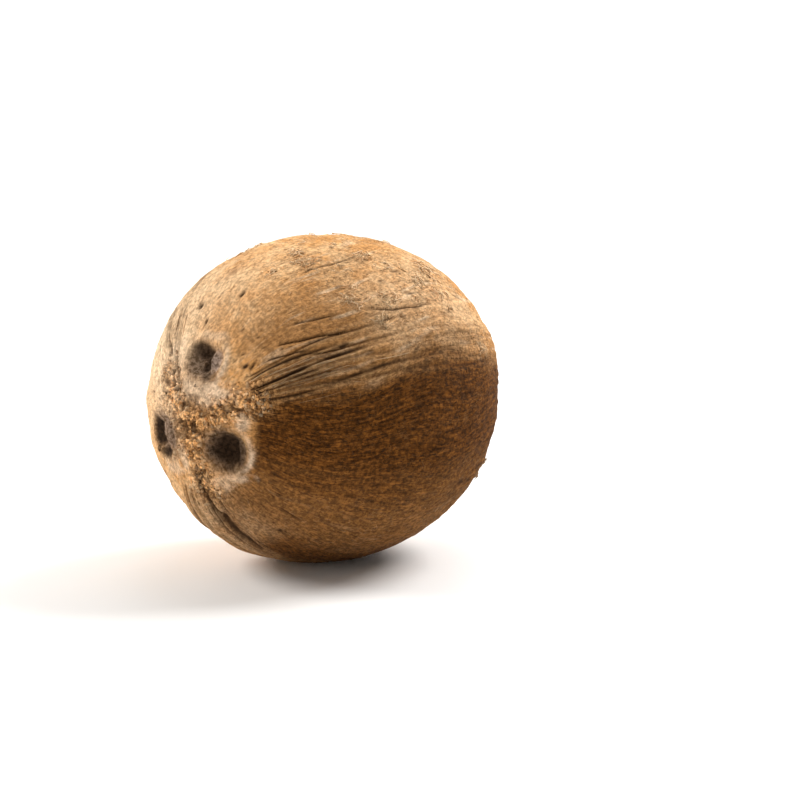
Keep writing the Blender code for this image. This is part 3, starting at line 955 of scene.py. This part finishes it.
# the grain's noises: the place each one reads, its stretch along the fruit, scale, detail and roughness
grainNoises = {
    "Streaks": ("Fibre Place", 0.16, 2200.0, 4.0, 0.65),
    "Dashes": ("Fibre Place", 0.36, 1500.0, 2.0, 0.5),
    "Patches": ("Place", 1.0, 90.0, 5.0, 0.62),
    "Crumbs": ("Place", 1.0, 800.0, 5.0, 0.7),
    "Strands": ("Fibre Place", 0.20, 920.0, 4.0, 0.65),
    "lumps": ("Fibre Place", 0.7, 480.0, 2.0, 0.5),
    "winding": ("Fibre Place", 0.65, 330.0, 3.0, 0.6),
    "cracked": ("Place", 1.0, 170.0, 2.0, 0.5),
}
# the range of each noise that is spread out from 0 to 1
grainRanges = {
    "Streaks": (0.28, 0.72), "Dashes": (0.57, 0.68), "Patches": (0.38, 0.62),
    "Crumbs": (0.39, 0.61), "Strands": (0.28, 0.74), "cracked": (0.50, 0.60),
}
grainLabels = ["Streaks", "Dashes", "Patches", "Crumbs", "Cracks", "Strands"]
# a crack's half width in the winding noise, the share of each in the height, and the height's boost
grainHeight = {
    "crack": (0.004, 0.030),
    "Streaks": 0.40, "Crumbs": 0.30, "lumps": 0.90, "cracks": -0.45, "boost": 1.1,
}


def huskGrainGroup():
    # fibre grain: fine streaks, dark dashes, broad patches, crumbs, cracks and strands
    group, start, end = newGroup(
        "huskGrain",
        [("Fibre Place", "Vector"), ("Place", "Vector"), ("Looseness", "Float"), ("Boost", "Float")],
        [(label, "Float") for label in grainLabels] + [("Height", "Float")],
    )
    noises = {}
    for name, (place, *settings) in grainNoises.items():
        noises[name] = noiseOf(group, start.outputs[place], *settings)
    # a crack runs where the winding noise crosses its middle
    offMiddle = workOut(group, "ABSOLUTE", workOut(group, "SUBTRACT", noises["winding"], 0.5))
    cracks = rangeOf(group, offMiddle, *grainHeight["crack"], 1.0, 0.0)
    cracks = workOut(group, "MULTIPLY", cracks, rangeOf(group, noises["cracked"], *grainRanges["cracked"]))
    cracks = workOut(group, "MULTIPLY", cracks, start.outputs["Looseness"])
    height = workOut(group, "MULTIPLY", noises["Crumbs"], grainHeight["Crumbs"])
    height = workOut(group, "MULTIPLY_ADD", noises["Streaks"], grainHeight["Streaks"], height)
    height = workOut(group, "MULTIPLY_ADD", noises["lumps"], grainHeight["lumps"], height)
    height = workOut(group, "MULTIPLY_ADD", cracks, grainHeight["cracks"], height)
    boost = workOut(group, "MULTIPLY_ADD", start.outputs["Boost"], grainHeight["boost"], 1.0)
    group.links.new(workOut(group, "MULTIPLY", height, boost), end.inputs["Height"])
    for label in grainLabels:
        found = cracks if label == "Cracks" else rangeOf(group, noises[label], *grainRanges[label])
        group.links.new(found, end.inputs[label])
    return group


# how strongly each area and the grain colour the husk
tintShares = {
    "ribMask": 0.75, "ridgeMask": 0.72, "crumbMask": 0.90, "haloMask": 0.9,
    "clumpMask": 0.6, "clumpInDark": 0.8,
    "streakShade": (0.80, 1.14), "crumbShade": (0.74, 1.19), "darkShade": 0.6,
    "dashes": 0.58, "dashesInDark": 0.30, "dashesInHalo": 0.35,
    "Cracks": 0.75, "grooveAndShadeMask": 0.95, "greyMask": 0.85, "plugMask": 0.90,
}


def huskTintGroup():
    # the husk's colour from the masks of each area and the grain
    group, start, end = newGroup(
        "huskTint",
        [(name, "Float") for name in maskNames + grainLabels if name != "looseMask"],
        [("Color", "Color")],
    )
    take = start.outputs

    def share(mask):
        # a mask times its share
        return workOut(group, "MULTIPLY", take[mask], tintShares[mask])

    def mixed(grain, first, second):
        # the first colour where the grain is 0 and the second where it is 1
        return blendColours(group, take[grain], colours[first], colours[second])

    middle = mixed("Patches", "middle", "middleWarm")
    middle = blendColours(group, take["Strands"], middle, colours["middleWarm"])
    # browner near the first rib: partly the husk's colour and partly painted shade
    base = blendColours(group, take["warmAndShadeMask"], mixed("Patches", "upperWarm", "upper"), middle)
    # creamier areas, one of them painted light on the lower left
    base = blendColours(group, take["paleAndLitMask"], base, colours["pale"])
    # the side below the first rib: partly browner husk and partly painted shade
    base = blendColours(group, take["brownAndShadeMask"], base, mixed("Strands", "lower", "lowerWarm"))
    base = blendColours(group, share("ribMask"), base, colours["rib"])
    base = blendColours(group, share("ridgeMask"), base, colours["ridge"])
    base = blendColours(group, share("crumbMask"), base, mixed("Crumbs", "crumbDark", "crumb"))
    paler = workOut(group, "MULTIPLY_ADD", take["brownAndShadeMask"], -tintShares["clumpInDark"], 1.0)
    base = blendColours(group, workOut(group, "MULTIPLY", share("clumpMask"), paler), base, colours["clump"])
    base = blendColours(group, share("haloMask"), base, colours["halo"])
    # lighter and darker with the grain, and more so on the dark side
    shade = rangeOf(group, take["Streaks"], 0.0, 1.0, *tintShares["streakShade"])
    crumbShade = rangeOf(group, take["Crumbs"], 0.0, 1.0, *tintShares["crumbShade"])
    shade = workOut(group, "SUBTRACT", workOut(group, "MULTIPLY", shade, crumbShade), 1.0)
    stronger = workOut(group, "MULTIPLY_ADD", take["brownAndShadeMask"], tintShares["darkShade"], 1.0)
    shade = workOut(group, "MULTIPLY_ADD", shade, stronger, 1.0)
    base = blendColours(group, 1.0, base, greyOf(group, shade), "MULTIPLY")
    # dashes, cracks and grooves, darkened with painted shade, and partly the husk's dark specks in the dashes
    dashes = workOut(group, "MULTIPLY_ADD", take["brownAndShadeMask"], tintShares["dashesInDark"], tintShares["dashes"])
    dashes = workOut(group, "MULTIPLY_ADD", take["haloMask"], -tintShares["dashesInHalo"], dashes)
    dashes = workOut(group, "MULTIPLY", take["Dashes"], dashes)
    base = blendColours(group, dashes, base, mixed("brownAndShadeMask", "creviceShade", "groove"))
    base = blendColours(group, share("Cracks"), base, colours["creviceShade"])
    base = blendColours(group, share("grooveAndShadeMask"), base, colours["groove"])
    # the eyes, their darkest patches partly their own charcoal and partly painted shadow in the dips
    base = blendColours(group, share("greyMask"), base, mixed("Crumbs", "charAndShadowEdge", "grey"))
    base = blendColours(group, share("plugMask"), base, mixed("Crumbs", "plugDark", "plug"))
    base = blendColours(group, take["charAndShadowMask"], base, mixed("Crumbs", "charAndShadow", "charAndShadowEdge"))
    group.links.new(base, end.inputs["Color"])
    return group


grainGroup = huskGrainGroup()
tintGroup = huskTintGroup()


def attributeOf(tree, name, output="Fac"):
    # what the piece's attribute of this name holds
    node = tree.nodes.new("ShaderNodeAttribute")
    node.attribute_name = name
    return node.outputs[output]


def huskMaterial(name, roughness, bumpStrength, bumpDistance):
    # the shared grain and tint, on the piece's own masks
    material = bpy.data.materials.new(name)
    material.use_nodes = True
    tree = material.node_tree
    shader = tree.nodes["Principled BSDF"]
    shader.inputs["Roughness"].default_value = roughness
    shader.inputs["Specular IOR Level"].default_value = 0.08
    grain = tree.nodes.new("ShaderNodeGroup")
    grain.node_tree = grainGroup
    tint = tree.nodes.new("ShaderNodeGroup")
    tint.node_tree = tintGroup
    place = tree.nodes.new("ShaderNodeTexCoord")
    tree.links.new(attributeOf(tree, "fibrePlace", "Vector"), grain.inputs["Fibre Place"])
    tree.links.new(place.outputs["Object"], grain.inputs["Place"])
    tree.links.new(attributeOf(tree, "looseMask"), grain.inputs["Looseness"])
    tree.links.new(attributeOf(tree, "warmAndShadeMask"), grain.inputs["Boost"])
    for mask in maskNames:
        if mask != "looseMask":
            tree.links.new(attributeOf(tree, mask), tint.inputs[mask])
    for label in grainLabels:
        tree.links.new(grain.outputs[label], tint.inputs[label])
    tree.links.new(tint.outputs["Color"], shader.inputs["Base Color"])
    if bumpStrength > 0.0:
        bump = tree.nodes.new("ShaderNodeBump")
        bump.inputs["Strength"].default_value = bumpStrength
        bump.inputs["Distance"].default_value = bumpDistance
        tree.links.new(grain.outputs["Height"], bump.inputs["Height"])
        tree.links.new(bump.outputs["Normal"], shader.inputs["Normal"])
    return material


def fibreMaterial():
    # the husk's finish, each fibre lighter or darker than the rest and some straw coloured
    material = huskMaterial("huskFibre", 0.85, 0.0, 0.0)
    tree = material.node_tree
    shader = tree.nodes["Principled BSDF"]
    tinted = shader.inputs["Base Color"].links[0].from_socket
    tinted = blendColours(tree, attributeOf(tree, "strawShare"), tinted, colours["straw"])
    tone = greyOf(tree, attributeOf(tree, "fibreTone"))
    tree.links.new(blendColours(tree, 1.0, tinted, tone, "MULTIPLY"), shader.inputs["Base Color"])
    return material


def huskSkin():
    # one closed surface: rings of points from the eye end to the tip, closed by a point at each end
    def ringCrowd(angle):
        # 1, with a bell added near the eye end
        return 1.0 + husk["ringGain"] * bell(np.degrees(angle) - husk["ringPolar"], husk["ringReach"])

    def columnCrowd(angle):
        # 1, with one bell added on the side that shows and one at the first rib
        side = bell(turnFrom(angle, husk["sidePlace"]), husk["sideReach"])
        rib = bell(turnFrom(angle, husk["columnPlace"]), husk["columnReach"])
        return 1.0 + husk["sideGain"] * side + husk["columnGain"] * rib

    columns, rings = husk["columns"], husk["rings"]
    polarLine = sharedOut(rings, math.pi, ringCrowd)[1:-1]
    aroundLine = sharedOut(columns, tau, columnCrowd)[:-1]
    polar, around = np.meshgrid(polarLine, aroundLine, indexing="ij")
    polar = np.concatenate([[0.0], polar.ravel(), [math.pi]])
    around = np.concatenate([[0.0], around.ravel(), [0.0]])
    points, _, masks = huskSurface(polar, around)
    ringStart = 1 + np.arange(rings - 1)[:, None] * columns
    here = ringStart[:-1] + np.arange(columns)[None, :]
    following = ringStart[:-1] + (np.arange(columns)[None, :] + 1) % columns
    quads = np.stack([here, following, following + columns, here + columns], axis=-1).reshape(-1, 4)
    ring = np.arange(columns)
    after = (ring + 1) % columns
    lastRing = 1 + (rings - 2) * columns
    eyeCap = np.stack([np.zeros_like(ring), 1 + after, 1 + ring], axis=-1)
    tipCap = np.stack([np.full_like(ring, len(points) - 1), lastRing + ring, lastRing + after], axis=-1)
    mesh = meshFrom("huskSkin", points, quads, np.concatenate([eyeCap, tipCap]))
    for name in maskNames:
        addAttribute(mesh, name, masks[name])
    addPlaces(mesh, "fibrePlace", alongFibres(polar, around))
    # the flat map: the turn round across and the polar angle up, cut along the first column
    acrossShare = np.arange(columns) / columns
    upShare = polarLine / math.pi
    middleShare, nextShare = acrossShare + 0.5 / columns, acrossShare + 1.0 / columns
    quadAcross = np.stack([acrossShare, nextShare], axis=-1)[None, :, [0, 1, 1, 0]]
    quadUp = np.stack([upShare[:-1], upShare[1:]], axis=-1)[:, None, [0, 0, 1, 1]]
    quadMap = np.stack(np.broadcast_arrays(quadAcross, quadUp), axis=-1).reshape(-1, 2)
    eyeMap = cornerPlaces([middleShare, nextShare, acrossShare], [0.0, upShare[0], upShare[0]])
    tipMap = cornerPlaces([middleShare, acrossShare, nextShare], [1.0, upShare[-1], upShare[-1]])
    bakeMap(mesh, np.concatenate([quadMap, eyeMap, tipMap]))
    skin = addPiece("huskSkin", mesh, huskMaterial("huskSkin", 0.9, 0.45, 0.0006))
    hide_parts("coconut")
    return skin


# fibres that lie on the husk: count, length and width in metres, slant off the fruit's length and
# curl in degrees, how far the middle and the tips stand off the surface, the share that is straw
# coloured, where they grow, and how far they rise as a share of their width
fibreKinds = {
    "pressedFibres": {
        "count": 9800, "seed": 11, "rings": 4, "length": (0.0016, 0.0044), "width": (0.00012, 0.00024),
        "slant": 12.0, "curl": 24.0, "arch": 0.00002, "tips": (-0.00008, 0.00003),
        "straw": 0.20, "where": "all", "rise": -0.12,
    },
    "roughFibres": {
        "count": 7000, "seed": 12, "rings": 4, "length": (0.0014, 0.0042), "width": (0.00016, 0.00030),
        "slant": 40.0, "curl": 90.0, "arch": 0.00003, "tips": (-0.00008, 0.00006),
        "straw": 0.20, "where": "rough", "rise": -0.12,
    },
    "tangledFibres": {
        "count": 2600, "seed": 13, "rings": 5, "length": (0.0018, 0.0046), "width": (0.00020, 0.00038),
        "slant": 70.0, "curl": 130.0, "arch": 0.00008, "tips": (-0.00008, 0.00020),
        "straw": 0.90, "where": "clumps", "rise": 0.0,
    },
    "pithFibres": {
        "count": 3000, "seed": 16, "rings": 4, "length": (0.0010, 0.0026), "width": (0.00018, 0.00036),
        "slant": 90.0, "curl": 60.0, "arch": 0.00020, "tips": (-0.00010, 0.00045),
        "straw": 0.15, "where": "crumbs", "rise": 0.15,
    },
    "ribStrands": {
        "count": 1000, "seed": 15, "rings": 10, "length": (0.0080, 0.0260), "width": (0.00022, 0.00050),
        "slant": 2.5, "curl": 8.0, "arch": 0.00008, "tips": (-0.00012, 0.00010),
        "straw": 0.34, "where": "ribs", "rise": 0.10,
    },
    "looseFibres": {
        "count": 900, "seed": 14, "rings": 8, "length": (0.0030, 0.0070), "width": (0.00024, 0.00042),
        "slant": 90.0, "curl": 190.0, "arch": 0.00040, "tips": (-0.00005, 0.00080),
        "straw": 0.90, "where": "clumps", "rise": 0.15,
    },
}


# where fibres grow: how many places are tried for each, the share that grows everywhere, and for each
# mask a share, a power and the value it must pass
fibreGrowth = {
    "all": (6, 0.05, [
        ("looseMask", 0.40, 1, -1.0), ("ribMask", 0.35, 1, -1.0), ("brownAndShadeMask", 0.50, 1, -1.0),
    ]),
    "rough": (10, 0.06, [("looseMask", 0.94, 2, -1.0)]),
    "clumps": (28, 0.0, [("clumpMask", 0.95, 2, 0.3)]),
    "crumbs": (28, 0.0, [("crumbMask", 1.0, 1.5, -1.0)]),
    "ribs": (28, 0.0, [("ribMask", 1.0, 2, -1.0)]),
}
# what all fibres share: how rare they are in grooves and near the eyes, their length where the husk is
# tight and how much longer they are where it is loose, the share of the curl that waves, the least
# sine of a polar angle, how tips and arches vary, how far they sink in a groove and stay above the
# floor, the width of their ends, and their tones
fibreShape = {
    "rareInGrooves": 0.8, "rareInHalo": 0.85, "tightLength": 0.7, "looseLength": 0.5, "waveShare": 0.4,
    "leastSine": 0.10, "tipPower": 2, "startPower": 3, "archSpread": (0.3, 1.3), "grooveSink": 0.0005,
    "aboveFloor": 0.0001, "endWidth": 0.25, "tone": (1.02, 0.12), "toneRange": (0.6, 1.5),
    "mostStraw": 0.9, "darkStraw": 0.85,
}


def scatterRoots(count, where, draw):
    # places spread evenly over the surface, then kept by how likely a fibre is there
    triesEach, everywhere, growth = fibreGrowth[where]
    tries = count * triesEach
    polar = np.arccos(1.0 - 2.0 * draw.random(tries))
    around = draw.random(tries) * tau
    _, _, masks = huskSurface(polar, around)
    bare = np.maximum(masks["charAndShadowMask"], np.maximum(masks["greyMask"], masks["plugMask"]))
    likely = (1.0 - bare) * (1.0 - fibreShape["rareInGrooves"] * masks["grooveAndShadeMask"])
    likely *= 1.0 - fibreShape["rareInHalo"] * masks["haloMask"]
    grown = everywhere
    for mask, share, power, passed in growth:
        grown = grown + share * masks[mask] ** power * (masks[mask] > passed)
    kept = np.flatnonzero(draw.random(tries) < likely * grown)[:count]
    return polar[kept], around[kept], masks["looseMask"][kept]


def fibrePiece(name, kind, material):
    # each fibre is a three-sided tube carried along a curve that bends as it goes over the husk
    draw = np.random.default_rng(kind["seed"])
    rootPolar, rootAround, loose = scatterRoots(kind["count"], kind["where"], draw)
    count, rings = len(rootPolar), kind["rings"]
    share = np.linspace(-0.5, 0.5, rings)[None, :]
    longer = fibreShape["tightLength"] + fibreShape["looseLength"] * loose
    length = (draw.uniform(*kind["length"], count) * longer)[:, None]
    width = draw.uniform(*kind["width"], count)[:, None]
    slant = np.radians(draw.normal(0.0, kind["slant"], count))[:, None]
    curl = np.radians(draw.normal(0.0, kind["curl"], count))[:, None]
    wave = np.radians(draw.normal(0.0, fibreShape["waveShare"] * kind["curl"], count))[:, None]
    heading = slant + curl * share + wave * np.sin(tau * share + draw.uniform(0.0, tau, count)[:, None])
    step = length / (rings - 1)
    ahead = np.cumsum(np.cos(heading) * step, axis=1)
    aside = np.cumsum(np.sin(heading) * step, axis=1)
    ahead -= ahead[:, rings // 2][:, None]
    aside -= aside[:, rings // 2][:, None]
    sine = np.maximum(np.sin(rootPolar), fibreShape["leastSine"])[:, None]
    polar = rootPolar[:, None] + ahead / arcLength(1.0)
    around = rootAround[:, None] + aside / (0.5 * fruit["width"] * sine)
    around = np.where(polar < 0.0, around + math.pi, around)
    polar = np.abs(polar)
    around = np.where(polar > math.pi, around + math.pi, around)
    polar = np.where(polar > math.pi, tau - polar, polar)
    points, normals, masks = huskSurface(polar, around)
    lowTip, highTip = kind["tips"]
    tipLift = lowTip + (highTip - lowTip) * draw.random(count)[:, None] ** fibreShape["tipPower"]
    startLift = lowTip + (highTip - lowTip) * draw.random(count)[:, None] ** fibreShape["startPower"]
    arch = kind["arch"] * draw.uniform(*fibreShape["archSpread"], count)[:, None] * (1.0 - (2.0 * share) ** 2)
    lift = arch + np.where(share > 0.0, tipLift, startLift) * (2.0 * share) ** 2 + kind["rise"] * width
    lift = lift - fibreShape["grooveSink"] * masks["grooveAndShadeMask"]
    points = points + normals * lift[..., None]
    points[..., 2] = np.maximum(points[..., 2], cadBox[0][2] + fibreShape["aboveFloor"])
    tangent = np.gradient(points, axis=1)
    tangent /= np.linalg.norm(tangent, axis=-1, keepdims=True) + 1e-12
    sideways = np.cross(tangent, normals)
    sideways /= np.linalg.norm(sideways, axis=-1, keepdims=True) + 1e-12
    upward = np.cross(sideways, tangent)
    fullness = np.sqrt(np.clip(1.0 - (2.0 * share) ** 4, 0.0, 1.0))
    radius = 0.5 * width * (fibreShape["endWidth"] + (1.0 - fibreShape["endWidth"]) * fullness)
    turns = np.radians([90.0, 210.0, 330.0])
    corners = (
        points[:, :, None, :]
        + radius[..., None, None] * np.cos(turns)[:, None] * sideways[:, :, None, :]
        + radius[..., None, None] * np.sin(turns)[:, None] * upward[:, :, None, :]
    )
    first = (np.arange(count) * rings * 3)[:, None, None]
    ring = (np.arange(rings - 1) * 3)[None, :, None]
    corner = np.arange(3)[None, None, :]
    following = (corner + 1) % 3
    quads = np.stack([
        first + ring + corner, first + ring + following,
        first + ring + 3 + following, first + ring + 3 + corner,
    ], axis=-1).reshape(-1, 4)
    start = np.arange(count) * rings * 3
    end = start + (rings - 1) * 3
    caps = np.concatenate([
        np.stack([start + 2, start + 1, start], axis=-1),
        np.stack([end, end + 1, end + 2], axis=-1),
    ])
    mesh = meshFrom(name, corners.reshape(-1, 3), quads, caps)
    for mask in maskNames:
        addAttribute(mesh, mask, np.repeat(masks[mask].ravel(), 3))
    addPlaces(mesh, "fibrePlace", np.repeat(alongFibres(polar, around).reshape(-1, 3), 3, axis=0))
    tone = draw.normal(*fibreShape["tone"], count).clip(*fibreShape["toneRange"])
    straw = np.clip(draw.random(count) ** 2 * kind["straw"] * 2.0, 0.0, fibreShape["mostStraw"])[:, None]
    shaded = np.maximum(masks["charAndShadowMask"], fibreShape["darkStraw"] * masks["brownAndShadeMask"])
    shaded = np.maximum(masks["grooveAndShadeMask"], shaded)
    addAttribute(mesh, "fibreTone", np.repeat(tone, rings * 3))
    addAttribute(mesh, "strawShare", np.repeat((straw * (1.0 - shaded)).ravel(), 3))
    # the flat map: one cell of a square for each fibre
    acrossMap = (np.arange(3)[:, None] + np.array([0.0, 1.0, 1.0, 0.0])) / 3.0
    alongMap = (np.arange(rings - 1)[:, None, None] + np.array([0.0, 0.0, 1.0, 1.0])) / (rings - 1)
    quadMap = cellPlaces(count, np.stack(np.broadcast_arrays(acrossMap, alongMap), axis=-1))
    capMap = cellPlaces(count, np.array([[0.0, 0.0], [0.5, 0.0], [1.0, 0.0]]))
    bakeMap(mesh, np.concatenate([quadMap, capMap, capMap]))
    return addPiece(name, mesh, material)


# crumbs of husk between the eyes and along the start of the ribs: how many places are tried for each
# and within what polar angle, where they end, how the mask and the lumps thin them out, size in
# metres, how far they sink, how uneven, stretched and flat they are, their tones and straw
crumbs = {
    "count": 2600, "seed": 21, "tries": 40, "within": 40.0, "end": (24.0, 33.0),
    "maskPower": 1.5, "onLumps": (-0.40, 0.30), "size": (0.00035, 0.00105), "smaller": (0.5, 1.0),
    "sink": 0.62, "uneven": (0.55, 1.45), "stretch": (0.6, 1.9), "flat": 0.8,
    "tone": (0.95, 0.22), "toneRange": (0.4, 1.5), "straw": 0.5, "strawPower": 3,
}


def crumbPiece(material):
    # each crumb is an eight-sided pebble: a ring of six points with one above and one below
    draw = np.random.default_rng(crumbs["seed"])
    tries = crumbs["count"] * crumbs["tries"]
    polar = np.arccos(1.0 - draw.random(tries) * (1.0 - math.cos(math.radians(crumbs["within"]))))
    around = draw.random(tries) * tau
    points, normals, masks = huskSurface(polar, around)
    likely = masks["crumbMask"] ** crumbs["maskPower"] * (1.0 - masks["charAndShadowMask"]) * (1.0 - masks["haloMask"])
    likely *= 1.0 - smoothStep(*crumbs["end"], np.degrees(polar))
    lumps = sizedNoise(polar, around, husk["crumbSize"], seeds["lumps"])
    likely *= smoothStep(*crumbs["onLumps"], lumps)
    kept = np.flatnonzero(draw.random(tries) < likely)[:crumbs["count"]]
    polar, around, points, normals = polar[kept], around[kept], points[kept], normals[kept]
    count = len(kept)
    size = draw.uniform(*crumbs["size"], count) * draw.uniform(*crumbs["smaller"], count)
    turns = np.arange(6) * tau / 6.0
    ringShape = np.stack([np.cos(turns), np.sin(turns), 0.0 * turns], axis=-1)
    shape = np.concatenate([[[0.0, 0.0, 1.0]], ringShape, [[0.0, 0.0, -1.0]]])
    shape = shape[None] * draw.uniform(*crumbs["uneven"], (count, 8, 1))
    shape = shape * (draw.uniform(*crumbs["stretch"], (count, 1, 3)) * np.array([1.0, 1.0, crumbs["flat"]]))
    spin = draw.normal(0.0, 1.0, (count, 3, 3))
    axes, _ = np.linalg.qr(spin)
    axes *= np.sign(np.linalg.det(axes))[:, None, None]
    shape = shape @ axes * size[:, None, None]
    middles = points + normals * (size * (0.5 - crumbs["sink"]))[:, None]
    corners = middles[:, None, :] + shape
    start = (np.arange(count) * 8)[:, None]
    ring = np.arange(6)[None, :]
    after = (ring + 1) % 6
    top = np.stack([start + 0 * ring, start + 1 + ring, start + 1 + after], axis=-1)
    under = np.stack([start + 7 + 0 * ring, start + 1 + after, start + 1 + ring], axis=-1)
    triangles = np.concatenate([top, under], axis=1).reshape(-1, 3)
    mesh = meshFrom("eyeCrumbs", corners.reshape(-1, 3), np.zeros((0, 4), dtype=int), triangles)
    for mask in maskNames:
        addAttribute(mesh, mask, np.repeat(masks[mask][kept], 8))
    addPlaces(mesh, "fibrePlace", np.repeat(alongFibres(polar, around), 8, axis=0))
    tone = draw.normal(*crumbs["tone"], count).clip(*crumbs["toneRange"])
    straw = crumbs["straw"] * draw.random(count) ** crumbs["strawPower"]
    addAttribute(mesh, "fibreTone", np.repeat(tone, 8))
    addAttribute(mesh, "strawShare", np.repeat(straw, 8))
    # the flat map: one cell of a square for each crumb, its upper faces above its lower ones
    wedge = ring[0] / 6.0
    topMap = cornerPlaces([wedge + 1 / 12, wedge, wedge + 1 / 6], [0.95, 0.5, 0.5])
    underMap = cornerPlaces([wedge + 1 / 12, wedge + 1 / 6, wedge], [0.05, 0.5, 0.5])
    bakeMap(mesh, cellPlaces(count, np.concatenate([topMap, underMap])))
    return addPiece("eyeCrumbs", mesh, material)


huskSkin()
print("husk skin done")
fibreFinish = fibreMaterial()
for fibreName, fibreKind in fibreKinds.items():
    fibrePiece(fibreName, fibreKind, fibreFinish)
    print(fibreName, "done")
crumbPiece(fibreFinish)
print("crumbs done")


# the stage: a pale floor that curves up behind, a little light from all round, soft lights and the camera
stage = {
    "floorWidth": 6.0, "floorFront": -2.5, "floorBack": 0.9, "floorRise": 2.5, "floorCurve": 0.9,
    "floorColour": (0.92, 0.92, 0.92, 1.0), "floorRoughness": 0.6,
    "worldColour": (1.0, 0.99, 0.97, 1.0), "worldStrength": 0.25, "aimHeight": 0.05,
}
# round lights on spheres round the fruit: turn from the camera, left is negative, and height in
# degrees, metres away, size in metres, power in watts
lights = {
    "keyLight": {
        "turn": -98.0, "height": 36.0, "away": 1.4, "size": 0.7, "power": 17.2, "colour": (1.0, 0.97, 0.93),
    },
    "topLight": {
        "turn": 160.0, "height": 66.0, "away": 1.5, "size": 1.0, "power": 6.0, "colour": (1.0, 0.98, 0.96),
    },
    "backLight": {
        "turn": 118.0, "height": 42.0, "away": 1.6, "size": 0.9, "power": 33.0, "colour": (1.0, 0.98, 0.96),
    },
    "fillLight": {
        "turn": -42.0, "height": 5.0, "away": 1.8, "size": 1.6, "power": 8.0, "colour": (1.0, 0.91, 0.78),
    },
}
camera = {
    "azimuth": 41.7, "elevation": 9.0, "away": 0.7460, "lens": 100.0, "sensor": 36.0,
    "frameSide": 800.0, "fruitAcross": 324.7, "fruitDown": 397.5,
}


def buildFloor():
    # a floor strip whose back rises in a quarter circle: a profile carried straight across
    turn = np.linspace(0.0, 0.5 * math.pi, 24)
    radius = stage["floorCurve"]
    back = stage["floorBack"]
    along = np.concatenate([[stage["floorFront"]], back + radius * np.sin(turn), [back + radius]])
    upward = np.concatenate([[0.0], radius * (1.0 - np.cos(turn)), [stage["floorRise"]]])
    across = np.array([-0.5, 0.5]) * stage["floorWidth"]
    turned = math.radians(camera["azimuth"])
    side = np.array([math.cos(turned), math.sin(turned), 0.0])
    ahead = np.array([-math.sin(turned), math.cos(turned), 0.0])
    points = along[:, None, None] * ahead + across[None, :, None] * side
    points[..., 2] = upward[:, None] + cadBox[0][2]
    first = np.arange(len(along) - 1) * 2
    quads = np.stack([first, first + 1, first + 3, first + 2], axis=-1)
    mesh = meshFrom("studioFloor", points.reshape(-1, 3), quads, np.zeros((0, 3), dtype=int))
    material = bpy.data.materials.new("paleFloor")
    material.use_nodes = True
    shader = material.node_tree.nodes["Principled BSDF"]
    shader.inputs["Base Color"].default_value = stage["floorColour"]
    shader.inputs["Roughness"].default_value = stage["floorRoughness"]
    mesh.materials.append(material)
    floor = bpy.data.objects.new("studioFloor", mesh)
    bpy.context.scene.collection.objects.link(floor)


def aimAt(piece, target):
    # turns a light so that its face looks at the target
    direction = Vector(target) - piece.location
    piece.rotation_euler = direction.to_track_quat("-Z", "Y").to_euler()


def addLight(name, light):
    # an area light on a sphere round the fruit, aimed at its middle
    data = bpy.data.lights.new(name, "AREA")
    data.shape = "DISK"
    data.size = light["size"]
    data.energy = light["power"]
    data.color = light["colour"]
    lamp = bpy.data.objects.new(name, data)
    bearing = math.radians(camera["azimuth"] + light["turn"])
    lift = math.radians(light["height"])
    level = light["away"] * math.cos(lift)
    lamp.location = (
        level * math.sin(bearing),
        -level * math.cos(bearing),
        light["away"] * math.sin(lift) + stage["aimHeight"],
    )
    bpy.context.scene.collection.objects.link(lamp)
    aimAt(lamp, (0.0, 0.0, stage["aimHeight"]))


def buildLights():
    # the four lights, an even light from all round, and plain colours without a film look
    for name, light in lights.items():
        addLight(name, light)
    world = bpy.data.worlds.new("studioWorld")
    world.use_nodes = True
    world.node_tree.nodes["Background"].inputs["Color"].default_value = stage["worldColour"]
    world.node_tree.nodes["Background"].inputs["Strength"].default_value = stage["worldStrength"]
    bpy.context.scene.world = world
    bpy.context.scene.view_settings.view_transform = "Standard"


def buildCamera():
    # the camera looks from its azimuth and elevation, turned so the fruit's centre falls on its pixel
    azimuth, elevation = math.radians(camera["azimuth"]), math.radians(camera["elevation"])
    outward = Vector((
        math.sin(azimuth) * math.cos(elevation),
        -math.cos(azimuth) * math.cos(elevation),
        math.sin(elevation),
    ))
    centre = Vector([float(number) for number in frameShift])
    place = centre + outward * camera["away"]
    pixels = camera["lens"] / camera["sensor"] * camera["frameSide"]
    shiftRight = (camera["fruitAcross"] - 0.5 * camera["frameSide"]) / pixels
    shiftUp = (0.5 * camera["frameSide"] - camera["fruitDown"]) / pixels
    level = Vector((0.0, 0.0, 1.0))
    aim = -outward
    for _ in range(8):
        right = aim.cross(level).normalized()
        up = right.cross(aim).normalized()
        toCentre = centre - place
        seenRight = toCentre.dot(right) / toCentre.dot(aim)
        seenUp = toCentre.dot(up) / toCentre.dot(aim)
        aim = (aim + right * (seenRight - shiftRight) + up * (seenUp - shiftUp)).normalized()
    right = aim.cross(level).normalized()
    up = right.cross(aim).normalized()
    data = bpy.data.cameras.new("photoCamera")
    data.lens = camera["lens"]
    data.sensor_width = camera["sensor"]
    data.clip_start = 0.05
    viewer = bpy.data.objects.new("photoCamera", data)
    turned = Matrix((right, up, -aim)).transposed().to_4x4()
    viewer.matrix_world = Matrix.Translation(place) @ turned
    bpy.context.scene.collection.objects.link(viewer)
    bpy.context.scene.camera = viewer


buildFloor()
buildLights()
buildCamera()
print("stage done")


print("scene finished")
